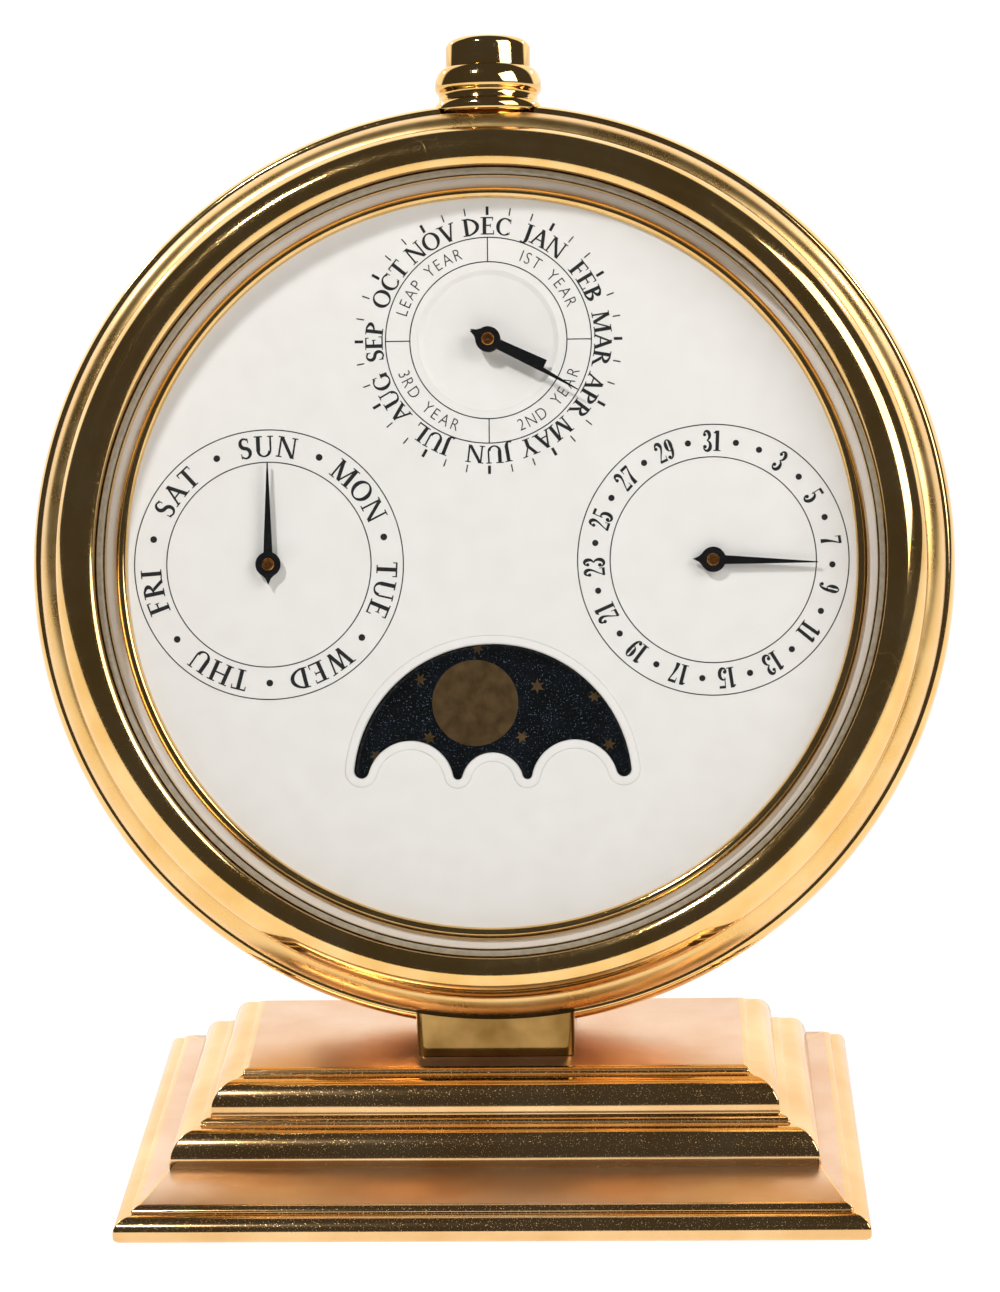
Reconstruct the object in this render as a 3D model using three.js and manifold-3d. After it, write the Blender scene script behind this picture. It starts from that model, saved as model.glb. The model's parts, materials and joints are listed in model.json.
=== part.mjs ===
// A perpetual desk calendar: a round gilt case leaning back on a stepped plinth, with a push button on top.
// Lengths are millimetres, +Z is up, the front looks towards -Y and the part rests on Z = 0.
// The case is drawn in a frame of its own: X to the right, Y up along the dial, Z out of the dial.
import * as THREE from "three";
import { mergeVertices } from "three/addons/utils/BufferGeometryUtils.js";
import Module from "manifold-3d";

const wasm = await Module();
wasm.setup();

// Driving dimensions
const clearance = 0.3;
const fitGap = 0.15;
const overrun = 2;
const leanAngle = THREE.MathUtils.degToRad(17.3);
const dialSetback = 10.36;
const caseRadius = 52.5;
const caseRise = 13.98;
const dialHeight = caseRadius + caseRise;
const slabWidth = 81.9;
const slabDepth = 53.4;
const axisCircle = 25;
const buttonTravel = 2.5;

// Facets
const bigTurn = 64;
const midTurn = 28;
const smallTurn = 16;
const pinTurn = 10;
const curveSteps = 8;
const windowSteps = 3;
const rollSteps = 4;
const cornerSteps = 4;
const coveSteps = 3;

// Plinth
const padHeight = 0.3;
const padInset = 3.2;
const padRecess = 0.9;
const slabFootRise = 0.7;
const slabFootInset = 0.7;
const slabSideRise = 0.6;
const slabRoundRise = 1.5;
const slabRoundInset = 1.9;
const ledgeBeadRise = 0.8;
const ledgeBeadInset = 0.75;
const tierInsetFront = 9.3;
const tierInsetBack = 2.2;
const tierInsetSide = 2.2;
const filletRise = 0.8;
const lowerOvoloRise = 2.5;
const lowerOvoloInset = 2.6;
const lowerCoveRise = 0.3;
const lowerCoveInset = 0.75;
const midBeadRise = 0.8;
const midBeadInset = 0.54;
const midStepRise = 0.2;
const midStepInset = 0.43;
const upperFilletRise = 0.65;
const upperOvoloRise = 2.55;
const upperOvoloInset = 2.6;
const upperCoveRise = 0.43;
const upperCoveInset = 0.86;
const topBeadRise = 0.38;
const topBeadInset = 0.48;

// Neck and stand screws
const neckWidth = 17.9;
const neckDepth = 13;
const neckSetback = 2.6;
const neckCorner = 1.1;
const neckRise = 6;
const standScrewSpacing = 10.6;
const standScrewRadius = 1.5;
const standScrewHeadRadius = 2.8;
const standScrewHeadHeight = 1.8;
const standScrewBite = 5;

// Case band, bezel and crystal, in the dial's frame
const rimDepth = 5.6;
const seamDepth = 2.3;
const rimWidth = 1.05;
const seamRadius = caseRadius - rimWidth;
const caseBackDepth = 14.3;
const bandShoulderDepth = 10.5;
const bandBackInset = 3;
const seamStep = 0.15;
const bezelOuterRadius = seamRadius - seamStep;
const outerRollRadius = 3.75;
const outerRollReach = 3.3;
const outerRollWidth = 2.45;
const outerRollCentre = bezelOuterRadius - outerRollReach;
const grooveRadius = bezelOuterRadius - outerRollWidth;
const rollOutside = 3.15;
const rollInside = 1.5;
const rollCrest = grooveRadius - rollOutside;
const rollInnerRadius = rollCrest - rollInside;
const rollFoot = 1.9;
const rollRise = 3.5;
const lipWidth = 0.9;
const bezelLipRadius = rollInnerRadius - lipWidth;
const lipStep = 0.1;
const movementRadius = bezelLipRadius + lipStep;
const plateSeatWidth = 1.2;
const plateSeatRadius = movementRadius + plateSeatWidth;
const spigotWidth = 2.9;
const spigotRadius = plateSeatRadius + spigotWidth;
const spigotTop = 0.3;
const crystalThickness = 1.2;
const crystalSeat = 1.9;
const gasketWidth = 0.55;
const gasketHeight = 1.3;
const backCoverThickness = 1.6;
const backCoverStep = 1.2;
const backLipWidth = 2.2;
const coverRadius = movementRadius + backLipWidth;
const backScrewSetback = 0.8;
const backScrewCircle = coverRadius - backScrewSetback;
const backScrewRadius = 0.8;
const backScrewHeadRadius = 1.6;
const backScrewHeadHeight = 0.8;
const backScrewLength = 4;
const backScrewAngles = [45, 135, 225, 315];

// Dial
const dialOverlap = 0.5;
const dialRadius = movementRadius + dialOverlap;
const dialThickness = 1;
const dialRingSetback = 2.85;
const dialRingInner = dialRadius - dialRingSetback;
const dialRingWidth = 1.3;
const dialRingHeight = 0.7;
const monthRecessRadius = 8.05;
const monthRecessDepth = 0.35;
const moonAxisDrop = 24.9;
const apertureRadius = 15.7;
const apertureFoot = 0.65;
const sideLobeRadius = 4.88;
const sideLobeOffset = 9.25;
const midLobeRadius = 3.5;

// Plates of the movement
const layerThickness = 1;
const mainPlateThickness = 2.2;
const plateGap = 0.4;
const plateRadius = plateSeatRadius - plateGap;
const rearPlateRadius = 41;
const rearPlateThickness = 1.5;
const moonPocketRadius = 17.1;
const moonPocketDepth = 1.2;
const pillarCircle = 38.5;
const pillarRadius = 2;
const pillarScrewRadius = 0.8;
const pillarScrewHeadRadius = 1.7;
const pillarScrewHeadHeight = 0.7;
const pillarAngles = [60, 200, 340];

// Arbors and hands
const arborRadius = 0.8;
const tipRadius = 0.7;
const collarRadius = 1.3;
const monthTipRadius = 0.4;
const pipeInner = 0.7;
const pipeOuter = 1;
const handThickness = 0.3;
const handHubRadius = 1.45;
const handFloor = 0.7;
const handTailLength = 2.26;
const dayHandLength = 11.5;
const dateHandLength = 11.7;
const monthHandLength = 11.6;
const yearHandLength = 7;
const handRootWidth = 1;
const tailRootShare = 0.8;
const handTipWidth = 0.12;
const yearHandTipWidth = 1.5;
const dayHandAngle = 0;
const dateHandAngle = 92;
const monthHandAngle = 120;
const yearHandAngle = 116;

// Wheels
const starTeeth = 7;
const starTipRadius = 3;
const starRootRadius = 1.75;
const dateTeeth = 31;
const dateTipRadius = 10.2;
const dateToothDepth = 1;
const moonTeeth = 59;
const moonTipRadius = 16.9;
const moonToothDepth = 0.9;
const moonDiscRadius = 16.6;
const moonDiscThickness = 0.6;
const moonArbor = 1.2;
const gearModule = 0.5;
const pinionTeeth = 14;
const reductionTeeth = 28;
const monthModule = 0.7;
const monthTeeth = 24;
const camRadius = 7.2;
const camFebruaryDepth = 2.2;
const camLeapDepth = 1.6;
const camShortDepth = 0.8;
const camMonths = 48;
const intermediateAngle = 135;
const spokes = 4;
const rimShare = 0.22;
const windowStartShare = 0.36;
const fingerWidth = 1.4;
const fingerRestAngle = -100;

// Operating lever, pawls and springs
const leverPivotX = -1.1;
const leverPivotY = 10.4;
const leverBossRadius = 3;
const leverArmRoot = 3.2;
const leverArmTip = 2.2;
const leverPostRadius = 1.2;
const leverReach = 20.8;
const leverPinRise = 14.5;
const leverPinRadius = 1;
const pawlLength = 4.5;
const pawlWidth = 1.8;
const pawlNose = 0.5;
const beakWidth = 0.8;
const jumperEye = 1.8;
const jumperArm = 0.7;
const jumperNose = 1.6;
const jumperNoseAngles = [180, 0, 160, 45];
const jumperEyeAngles = [235, 40, 142, 5];
const jumperEyeGaps = [7, 6, 9, 6.5];
const springBlade = 0.6;
const springContact = 8;
const springEyeX = 10;
const springEyeY = -4;

// Push button, pendant and yoke
const crownDepth = 6;
const lowerRingRadius = 6.25;
const lowerRingSection = 1.65;
const lowerRingSink = 0.75;
const lowerRingPlace = caseRadius - lowerRingSink;
const upperRingRadius = 6.1;
const upperRingRise = 2.65;
const upperRingPlace = lowerRingPlace + upperRingRise;
const upperRingHeight = 2.1;
const upperRingTop = upperRingPlace + upperRingHeight;
const ringGroove = 5.65;
const buttonRadius = 4.83;
const buttonSink = 0.4;
const buttonFoot = upperRingTop - buttonSink;
const buttonHeight = 4.2;
const buttonTop = buttonFoot + buttonHeight;
const buttonEdge = 0.9;
const pendantBore = 3;
const pendantDepth = 4.75;
const pendantFoot = lowerRingPlace - pendantDepth;
const pendantFloor = 0.8;
const pendantNeckRadius = 4.6;
const buttonBarrel = 2.6;
const buttonBarrelLength = 3.2;
const stemRadius = 0.8;
const stemEnd = 40.5;
const stemFootRadius = 2.3;
const stemFootHeight = 0.9;
const springWire = 0.25;
const springCoil = 1.9;
const springTurns = 3.5;
const springFacets = 5;
const turnSteps = 8;
const yokeWidth = 2.6;
const yokeElbow = 13;
const yokeShoulder = 31;

// Materials
function finish(color, roughness, metalness) {
  return new THREE.MeshStandardMaterial({ color, roughness, metalness });
}
const gilt = finish(0xd9a441, 0.18, 1);
const steel = finish(0xb9bcc0, 0.3, 1);
const brass = finish(0xc8a24c, 0.35, 1);
const blackSteel = finish(0x17161a, 0.4, 0.6);
const dialWhite = finish(0xeceae4, 0.6, 0);
const clear = finish(0xf4f8fa, 0.05, 0);
const moonBlue = finish(0x10151f, 0.15, 0.1);
const softGrey = finish(0x9a9a94, 0.7, 0);
const felt = finish(0x2c3a2e, 0.95, 0);

// Solids
const quarterTurn = Math.PI / 2;
const weldDistance = 1e-4;
function bare(geometry) {
  const plain = geometry.index ? geometry.toNonIndexed() : geometry.clone();
  plain.deleteAttribute("normal");
  plain.deleteAttribute("uv");
  return mergeVertices(plain, weldDistance);
}

function solidOf(geometry) {
  const merged = bare(geometry);
  const triVerts = new Uint32Array(merged.index.array);
  const vertProperties = merged.attributes.position.array;
  return new wasm.Manifold(new wasm.Mesh({ numProp: 3, vertProperties, triVerts }));
}

function geometryOf(solid) {
  const made = solid.getMesh();
  const geometry = new THREE.BufferGeometry();
  geometry.setAttribute("position", new THREE.BufferAttribute(made.vertProperties, 3));
  geometry.setIndex(new THREE.BufferAttribute(made.triVerts, 1));
  const flat = geometry.toNonIndexed();
  flat.computeVertexNormals();
  return flat;
}

function signedVolume(geometry) {
  const place = geometry.attributes.position;
  const [a, b, c] = [new THREE.Vector3(), new THREE.Vector3(), new THREE.Vector3()];
  let sum = 0;
  for (let i = 0; i < geometry.index.count; i += 3) {
    a.fromBufferAttribute(place, geometry.index.getX(i));
    b.fromBufferAttribute(place, geometry.index.getX(i + 1));
    c.fromBufferAttribute(place, geometry.index.getX(i + 2));
    sum += a.dot(b.cross(c));
  }
  return sum;
}

// Turns the faces outwards where a profile was drawn the other way round.
function facingOut(geometry) {
  const made = bare(geometry);
  if (signedVolume(made) < 0) {
    const order = made.index.array;
    for (let i = 0; i < order.length; i += 3) {
      const second = order[i + 1];
      order[i + 1] = order[i + 2];
      order[i + 2] = second;
    }
  }
  made.computeVertexNormals();
  return made;
}

function cut(geometry, ...tools) {
  return geometryOf(tools.reduce((whole, tool) => whole.subtract(solidOf(tool)), solidOf(geometry)));
}

function join(geometry, ...more) {
  return geometryOf(more.reduce((whole, piece) => whole.add(solidOf(piece)), solidOf(geometry)));
}

// A solid of revolution about Z from points [radius, height].
function turned(points, segments) {
  const profile = points.map(([radius, height]) => new THREE.Vector2(radius, height));
  return facingOut(new THREE.LatheGeometry(profile, segments).rotateX(quarterTurn));
}

function ring(inner, outer, low, high, segments) {
  return turned([[inner, low], [outer, low], [outer, high], [inner, high], [inner, low]], segments);
}

function rod(radius, low, high, x = 0, y = 0, segments = pinTurn) {
  const geometry = new THREE.CylinderGeometry(radius, radius, high - low, segments);
  return facingOut(geometry.rotateX(quarterTurn).translate(x, y, (low + high) / 2));
}

function slice(shape, low, high, steps = curveSteps) {
  const options = { depth: high - low, bevelEnabled: false, curveSegments: steps };
  const geometry = new THREE.ExtrudeGeometry(shape, options);
  return facingOut(geometry.translate(0, 0, low));
}

function outline(points) {
  return new THREE.Shape(points.map(([x, y]) => new THREE.Vector2(x, y)));
}

// Points on an arc, with angles in radians.
function arc(x, y, radiusX, radiusY, from, to, steps) {
  return Array.from({ length: steps + 1 }, (_, i) => {
    const angle = from + ((to - from) * i) / steps;
    return [x + radiusX * Math.cos(angle), y + radiusY * Math.sin(angle)];
  });
}

const rightAngle = 90;
function polar(x, y, radius, degrees) {
  const angle = THREE.MathUtils.degToRad(degrees);
  return [x + radius * Math.cos(angle), y + radius * Math.sin(angle)];
}

// A straight bar between two points that tapers from one width to the other, with round ends.
function bar(from, to, widthFrom, widthTo, low, high) {
  const along = Math.atan2(to[1] - from[1], to[0] - from[0]);
  const left = along + quarterTurn;
  const right = along - quarterTurn;
  const start = arc(...from, widthFrom / 2, widthFrom / 2, left, right + 4 * quarterTurn, rollSteps);
  const end = arc(...to, widthTo / 2, widthTo / 2, right, left, rollSteps);
  return slice(outline([...start, ...end]), low, high);
}

// Layers of the movement, counted backwards from the main plate
const dialBack = -dialThickness;
const mainFront = dialBack - clearance;
const mainBack = mainFront - mainPlateThickness;
function layer(number) {
  const front = mainBack - clearance - (number - 1) * (layerThickness + clearance);
  return [front - layerThickness, front];
}
const rearFront = layer(4)[0] - clearance;
const rearBack = rearFront - rearPlateThickness;
const coverFront = clearance + backCoverThickness - caseBackDepth;

// Places of the axes on the dial
const dayAxis = [-axisCircle, 0];
const dateAxis = [axisCircle, 0];
const monthAxis = [0, axisCircle];
const moonAxis = [0, -moonAxisDrop];
const gearDistance = (gearModule * (pinionTeeth + reductionTeeth)) / 2;
const intermediateAxis = polar(...monthAxis, gearDistance, intermediateAngle);
const monthPitch = (monthModule * monthTeeth) / 2;
const towardsDate = (Math.atan2(dateAxis[1] - monthAxis[1], dateAxis[0] - monthAxis[0]) * 180) / Math.PI;
const transferAxis = polar(...monthAxis, 2 * monthPitch, towardsDate);
const leverPivot = [leverPivotX, leverPivotY];
const pillarPlaces = pillarAngles.map((angle) => polar(0, 0, pillarCircle, angle));
const backScrewPlaces = backScrewAngles.map((angle) => polar(0, 0, backScrewCircle, angle));

// The scene graph
const calendar = new THREE.Group();
const caseFrame = new THREE.Group();
caseFrame.position.set(0, dialSetback, dialHeight);
caseFrame.rotation.x = Math.PI / 2 - leanAngle;
calendar.add(caseFrame);

function add(parent, name, geometry, material) {
  const mesh = new THREE.Mesh(geometry, material);
  mesh.name = name;
  parent.add(mesh);
  return mesh;
}

// Plinth
// One layer for each point [inset, height] of a moulding, round a rectangle that runs from low to high.
function steppedBlock(levels) {
  const places = [];
  const faces = [];
  levels.forEach(({ left, right, front, back, height }) => {
    places.push(left, front, height, right, front, height, right, back, height, left, back, height);
  });
  for (let i = 0; i + 1 < levels.length; i += 1) {
    for (let side = 0; side < 4; side += 1) {
      const next = (side + 1) % 4;
      const [a, b, c, d] = [4 * i + side, 4 * i + next, 4 * i + 4 + next, 4 * i + 4 + side];
      faces.push(a, b, c, a, c, d);
    }
  }
  const top = 4 * (levels.length - 1);
  faces.push(0, 2, 1, 0, 3, 2, top, top + 1, top + 2, top, top + 2, top + 3);
  const geometry = new THREE.BufferGeometry();
  geometry.setAttribute("position", new THREE.Float32BufferAttribute(places, 3));
  geometry.setIndex(faces);
  return facingOut(geometry);
}

function convex(rise, inset, steps) {
  return arc(inset, 0, -inset, rise, 0, quarterTurn, steps).slice(1);
}
function concave(rise, inset, steps) {
  return arc(0, rise, inset, -rise, quarterTurn, 0, steps).slice(1);
}
function bead(rise, inset) {
  return [[-inset / 3, rise / 3], [inset / 4, (2 * rise) / 3], [inset, rise]];
}

// Strings moulding pieces together, each starting where the last one ended.
function moulding(start, pieces) {
  const points = [start];
  pieces.forEach((piece) => {
    const [inset, height] = points[points.length - 1];
    piece.forEach(([x, y]) => points.push([inset + x, height + y]));
  });
  return points;
}

const slabProfile = moulding([slabFootInset, padHeight], [
  [[-slabFootInset / 2, slabFootRise / 4], [-slabFootInset, slabFootRise]],
  [[0, slabSideRise]],
  convex(slabRoundRise, slabRoundInset, rollSteps),
  bead(ledgeBeadRise, ledgeBeadInset),
]);
const [ledgeInset, ledgeHeight] = slabProfile[slabProfile.length - 1];
const tierProfile = moulding([0, ledgeHeight], [
  [[0, filletRise]],
  convex(lowerOvoloRise, lowerOvoloInset, rollSteps),
  concave(lowerCoveRise, lowerCoveInset, coveSteps),
  bead(midBeadRise, midBeadInset),
  [[midStepInset, midStepRise / 2], [midStepInset, midStepRise]],
  [[0, upperFilletRise]],
  convex(upperOvoloRise, upperOvoloInset, rollSteps),
  concave(upperCoveRise, upperCoveInset, coveSteps),
  bead(topBeadRise, topBeadInset),
]);
const [tierInset, plinthTop] = tierProfile[tierProfile.length - 1];
const plinthTopFront = -slabDepth / 2 + ledgeInset + tierInsetFront + tierInset;

function plinthLevel([inset, height], side, front, back) {
  return {
    left: -slabWidth / 2 + side + inset,
    right: slabWidth / 2 - side - inset,
    front: -slabDepth / 2 + front + inset,
    back: slabDepth / 2 - back - inset,
    height,
  };
}

const neckFront = plinthTopFront + neckSetback;
const neckMiddle = neckFront + neckDepth / 2;
const standScrewPlaces = [-standScrewSpacing / 2, standScrewSpacing / 2].map((x) => [x, neckMiddle]);
const standScrewFoot = padHeight + padRecess + standScrewHeadHeight + clearance;

function plinthGeometry() {
  const slab = slabProfile.map((point) => plinthLevel(point, 0, 0, 0));
  const sides = ledgeInset + tierInsetSide;
  const tiers = tierProfile.map((point) =>
    plinthLevel(point, sides, ledgeInset + tierInsetFront, ledgeInset + tierInsetBack),
  );
  const [width, depth] = [slabWidth - 2 * padInset, slabDepth - 2 * padInset];
  const recess = roundedBlock(width, depth, neckCorner, padHeight - overrun, padHeight + padRecess);
  const holes = standScrewPlaces.flatMap(([x, y]) => [
    rod(standScrewRadius + clearance, padHeight - overrun, plinthTop + overrun, x, y),
    rod(standScrewHeadRadius + clearance, padHeight - overrun, standScrewFoot, x, y, smallTurn),
  ]);
  return cut(steppedBlock([...slab, ...tiers]), recess, ...holes);
}

// A block with rounded upright edges, centred on X and Y.
function roundedBlock(width, depth, corner, low, high) {
  const shape = new THREE.Shape();
  const [x, y] = [width / 2 - corner, depth / 2 - corner];
  shape.absarc(x, y, corner, 0, quarterTurn);
  shape.absarc(-x, y, corner, quarterTurn, 2 * quarterTurn);
  shape.absarc(-x, -y, corner, 2 * quarterTurn, 3 * quarterTurn);
  shape.absarc(x, -y, corner, 3 * quarterTurn, 4 * quarterTurn);
  const options = { depth: high - low, bevelEnabled: false, curveSegments: cornerSteps };
  return facingOut(new THREE.ExtrudeGeometry(shape, options).translate(0, 0, low));
}

add(calendar, "plinth", plinthGeometry(), gilt);
add(
  calendar,
  "base_pad",
  roundedBlock(
    slabWidth - 2 * (padInset + clearance), slabDepth - 2 * (padInset + clearance), neckCorner,
    0, padHeight + padRecess - clearance,
  ),
  felt,
);

// Case outlines, as [radius, height] in the dial's frame
const outerStart = Math.acos((grooveRadius - outerRollCentre) / outerRollRadius);
const outerEnd = Math.acos((bezelOuterRadius - outerRollCentre) / outerRollRadius);
const outerMiddle = rollFoot - outerRollRadius * Math.sin(outerStart);

// The main roll is steep inside its crest and falls away slowly outside it.
const mainRoll = [
  ...arc(rollCrest, rollFoot, rollInside, rollRise, 2 * quarterTurn, quarterTurn, rollSteps).slice(1),
  ...arc(rollCrest, rollFoot, rollOutside, rollRise, quarterTurn, 0, rollSteps).slice(1),
];
const outerRoll = arc(
  outerRollCentre, outerMiddle, outerRollRadius, outerRollRadius, outerStart, outerEnd, rollSteps,
);

// The bezel's back stands clear of the band by the seam.
const bezelBack = clearance - seamDepth;
const bezelProfile = [
  [bezelLipRadius, clearance],
  [bezelLipRadius, crystalSeat],
  [rollInnerRadius, crystalSeat],
  ...mainRoll,
  ...outerRoll.slice(1),
  [bezelOuterRadius, bezelBack],
  [spigotRadius + clearance, bezelBack],
  [spigotRadius + clearance, clearance],
  [bezelLipRadius, clearance],
];

const bandBackRadius = caseRadius - bandBackInset;
const bandBackRise = caseBackDepth - bandShoulderDepth;
const bandBack = arc(
  bandBackRadius, -bandShoulderDepth, bandBackInset, bandBackRise, 0, -quarterTurn, rollSteps,
);
const rimRise = rimDepth - seamDepth;
const bandProfile = [
  [movementRadius, mainBack],
  [plateSeatRadius, mainBack],
  [plateSeatRadius, -spigotTop],
  [spigotRadius, -spigotTop],
  [spigotRadius, -seamDepth],
  [seamRadius, -seamDepth],
  ...arc(seamRadius, -rimDepth, caseRadius - seamRadius, rimRise, quarterTurn, 0, rollSteps).slice(1),
  ...bandBack,
  [coverRadius + clearance, -caseBackDepth],
  [coverRadius + clearance, coverFront - backCoverStep],
  [movementRadius, coverFront - backCoverStep],
  [movementRadius, mainBack],
];

// A tool that clears the case's outside by the clearance, for what the case rests in.
function caseEnvelope() {
  const wide = caseRadius + clearance;
  const back = -caseBackDepth - clearance;
  const inset = bandBackInset + clearance;
  const points = [
    [0, back],
    [bandBackRadius, back],
    ...arc(bandBackRadius, -bandShoulderDepth, inset, bandBackRise + clearance, -quarterTurn, 0, rollSteps),
    [wide, -rimDepth + clearance],
    [bezelOuterRadius + 2 * clearance, -seamDepth + clearance],
    [bezelOuterRadius + 2 * clearance, rollFoot + rollRise + overrun],
    [0, rollFoot + rollRise + overrun],
  ];
  return turned(points, bigTurn);
}

// Turns a case-frame tool into the room's frame, and back.
function intoRoom(geometry) {
  calendar.updateMatrixWorld(true);
  return geometry.clone().applyMatrix4(caseFrame.matrixWorld);
}
function intoCase(geometry) {
  calendar.updateMatrixWorld(true);
  return geometry.clone().applyMatrix4(caseFrame.matrixWorld.clone().invert());
}

// Neck, and the screws that hold plinth, neck and case together
const neckFoot = plinthTop + clearance;
const standScrewTop = neckFoot + standScrewBite;
function neckGeometry() {
  const block = roundedBlock(neckWidth, neckDepth, neckCorner, neckFoot, neckFoot + neckRise);
  const holes = standScrewPlaces.map(([x, y]) =>
    rod(standScrewRadius + clearance, plinthTop - overrun, standScrewTop + neckRise, x, y),
  );
  return cut(block.translate(0, neckMiddle, 0), intoRoom(caseEnvelope()), ...holes);
}
add(calendar, "neck_saddle", neckGeometry(), gilt);
standScrewPlaces.forEach(([x, y], i) => {
  const side = i ? "right" : "left";
  const head = standScrewFoot - clearance;
  const shank = rod(standScrewRadius, head - standScrewHeadHeight / 2, standScrewTop, x, y);
  const screw = join(shank, rod(standScrewHeadRadius, head - standScrewHeadHeight, head, x, y, smallTurn));
  add(calendar, `stand_screw_${side}`, screw, steel);
});

// Case
function axisToUp(geometry) {
  return geometry.rotateX(-quarterTurn).translate(0, 0, -crownDepth);
}

function bandGeometry() {
  const stemHole = axisToUp(rod(stemRadius + clearance, movementRadius - overrun, caseRadius + overrun));
  const standHoles = standScrewPlaces.map(([x, y]) =>
    intoCase(rod(standScrewRadius + clearance, plinthTop - overrun, standScrewTop + clearance, x, y)),
  );
  const coverHoles = backScrewPlaces.map(([x, y]) =>
    rod(backScrewRadius + clearance, -caseBackDepth - overrun, coverFront + backScrewLength, x, y),
  );
  return cut(turned(bandProfile, bigTurn), stemHole, ...pendantSeat(), ...standHoles, ...coverHoles);
}

// The stepped pocket that the pendant's neck and lower ring sit in.
function pendantSeat() {
  const top = caseRadius + 2 * overrun;
  const low = lowerRingPlace - lowerRingSection - clearance;
  return [
    axisToUp(rod(pendantNeckRadius + clearance, pendantFoot - clearance, top, 0, 0, midTurn)),
    axisToUp(rod(lowerRingRadius + clearance, low, top, 0, 0, midTurn)),
  ];
}

add(caseFrame, "case_band", bandGeometry(), gilt);
add(caseFrame, "bezel", cut(turned(bezelProfile, bigTurn), ...pendantSeat()), gilt);
const crystalFoot = crystalSeat + fitGap;
const gasketInner = rollInnerRadius - gasketWidth - fitGap;
add(
  caseFrame,
  "crystal",
  turned([
    [0, crystalFoot],
    [gasketInner - fitGap, crystalFoot],
    [gasketInner - fitGap, crystalFoot + crystalThickness],
    [0, crystalFoot + crystalThickness],
  ], bigTurn),
  clear,
);
add(
  caseFrame,
  "crystal_gasket",
  ring(gasketInner, gasketInner + gasketWidth, crystalFoot, crystalFoot + gasketHeight, bigTurn),
  softGrey,
);
add(
  caseFrame,
  "dial_ring",
  turned([
    [dialRingInner, fitGap],
    [dialRingInner, dialRingHeight / 2],
    [dialRingInner + dialRingWidth / 3, dialRingHeight],
    [dialRingInner + (2 * dialRingWidth) / 3, dialRingHeight],
    [dialRingInner + dialRingWidth, dialRingHeight / 2],
    [dialRingInner + dialRingWidth, fitGap],
    [dialRingInner, fitGap],
  ], bigTurn),
  gilt,
);

// Back cover and its screws
const coverBack = coverFront - backCoverThickness;
function coverGeometry() {
  const lip = movementRadius - clearance;
  const disc = turned([
    [0, coverBack],
    [coverRadius, coverBack],
    [coverRadius, coverFront - backCoverStep - clearance],
    [lip, coverFront - backCoverStep - clearance],
    [lip, coverFront],
    [0, coverFront],
  ], bigTurn);
  const holes = backScrewPlaces.flatMap(([x, y]) => [
    rod(backScrewRadius + clearance, coverBack - overrun, coverFront + overrun, x, y),
  ]);
  return cut(disc, ...holes);
}
add(caseFrame, "back_cover", coverGeometry(), gilt);
backScrewPlaces.forEach(([x, y], i) => {
  const head = coverBack - clearance;
  const shank = rod(backScrewRadius, head - fitGap, coverFront + backScrewLength - clearance, x, y);
  const screw = join(shank, rod(backScrewHeadRadius, head - backScrewHeadHeight, head, x, y));
  add(caseFrame, `back_screw_${i + 1}`, screw, steel);
});

// Dial
function apertureShape() {
  const shape = new THREE.Shape();
  const foot = (radius) => Math.asin(apertureFoot / radius);
  const [cx, cy] = moonAxis;
  const lobes = [[-sideLobeOffset, sideLobeRadius], [0, midLobeRadius], [sideLobeOffset, sideLobeRadius]];
  shape.absarc(cx, cy, apertureRadius, foot(apertureRadius), Math.PI - foot(apertureRadius), false);
  lobes.forEach(([x, radius]) => {
    shape.absarc(cx + x, cy, radius, Math.PI - foot(radius), foot(radius), true);
  });
  return shape;
}

function dialGeometry() {
  const holes = [dayAxis, dateAxis].map(([x, y]) =>
    rod(tipRadius + clearance, dialBack - overrun, overrun, x, y),
  );
  const monthHole = rod(pipeOuter + clearance, dialBack - overrun, overrun, ...monthAxis);
  const recess = rod(monthRecessRadius, -monthRecessDepth, overrun, ...monthAxis, midTurn);
  const plate = rod(dialRadius, dialBack, 0, 0, 0, bigTurn);
  return cut(plate, slice(apertureShape(), dialBack - overrun, overrun), recess, monthHole, ...holes);
}
add(caseFrame, "dial", dialGeometry(), dialWhite);

// Plates, pillars and their screws
const pocketFloor = mainFront - moonPocketDepth;
function mainPlateGeometry() {
  const plate = rod(plateRadius, mainBack + clearance, mainFront, 0, 0, bigTurn);
  const low = mainBack - overrun;
  const tools = [
    rod(moonPocketRadius, pocketFloor, mainFront + overrun, ...moonAxis, midTurn),
    ...[dayAxis, dateAxis].map((axis) => rod(tipRadius + clearance, low, overrun, ...axis)),
    rod(pipeOuter + clearance, low, overrun, ...monthAxis),
    rod(moonArbor + clearance, low, overrun, ...moonAxis),
    ...[transferAxis, intermediateAxis].map((axis) => rod(arborRadius, low, mainFront - clearance, ...axis)),
    rod(leverPostRadius + clearance, low, mainFront - clearance, ...leverPivot),
  ];
  return cut(plate, ...tools);
}

const pivotRadius = arborRadius - clearance;
function rearPlateGeometry() {
  const low = rearBack - overrun;
  const high = rearFront + overrun;
  const plate = rod(rearPlateRadius, rearBack, rearFront, 0, 0, bigTurn);
  const axes = [dayAxis, dateAxis, monthAxis, moonAxis, transferAxis, intermediateAxis];
  const holes = axes.map((axis) => rod(pivotRadius + clearance, low, high, ...axis));
  const post = rod(leverPostRadius + clearance, low, high, ...leverPivot);
  const screws = pillarPlaces.map((place) => rod(pillarScrewRadius + clearance, low, high, ...place));
  return cut(plate, post, ...holes, ...screws);
}

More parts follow.
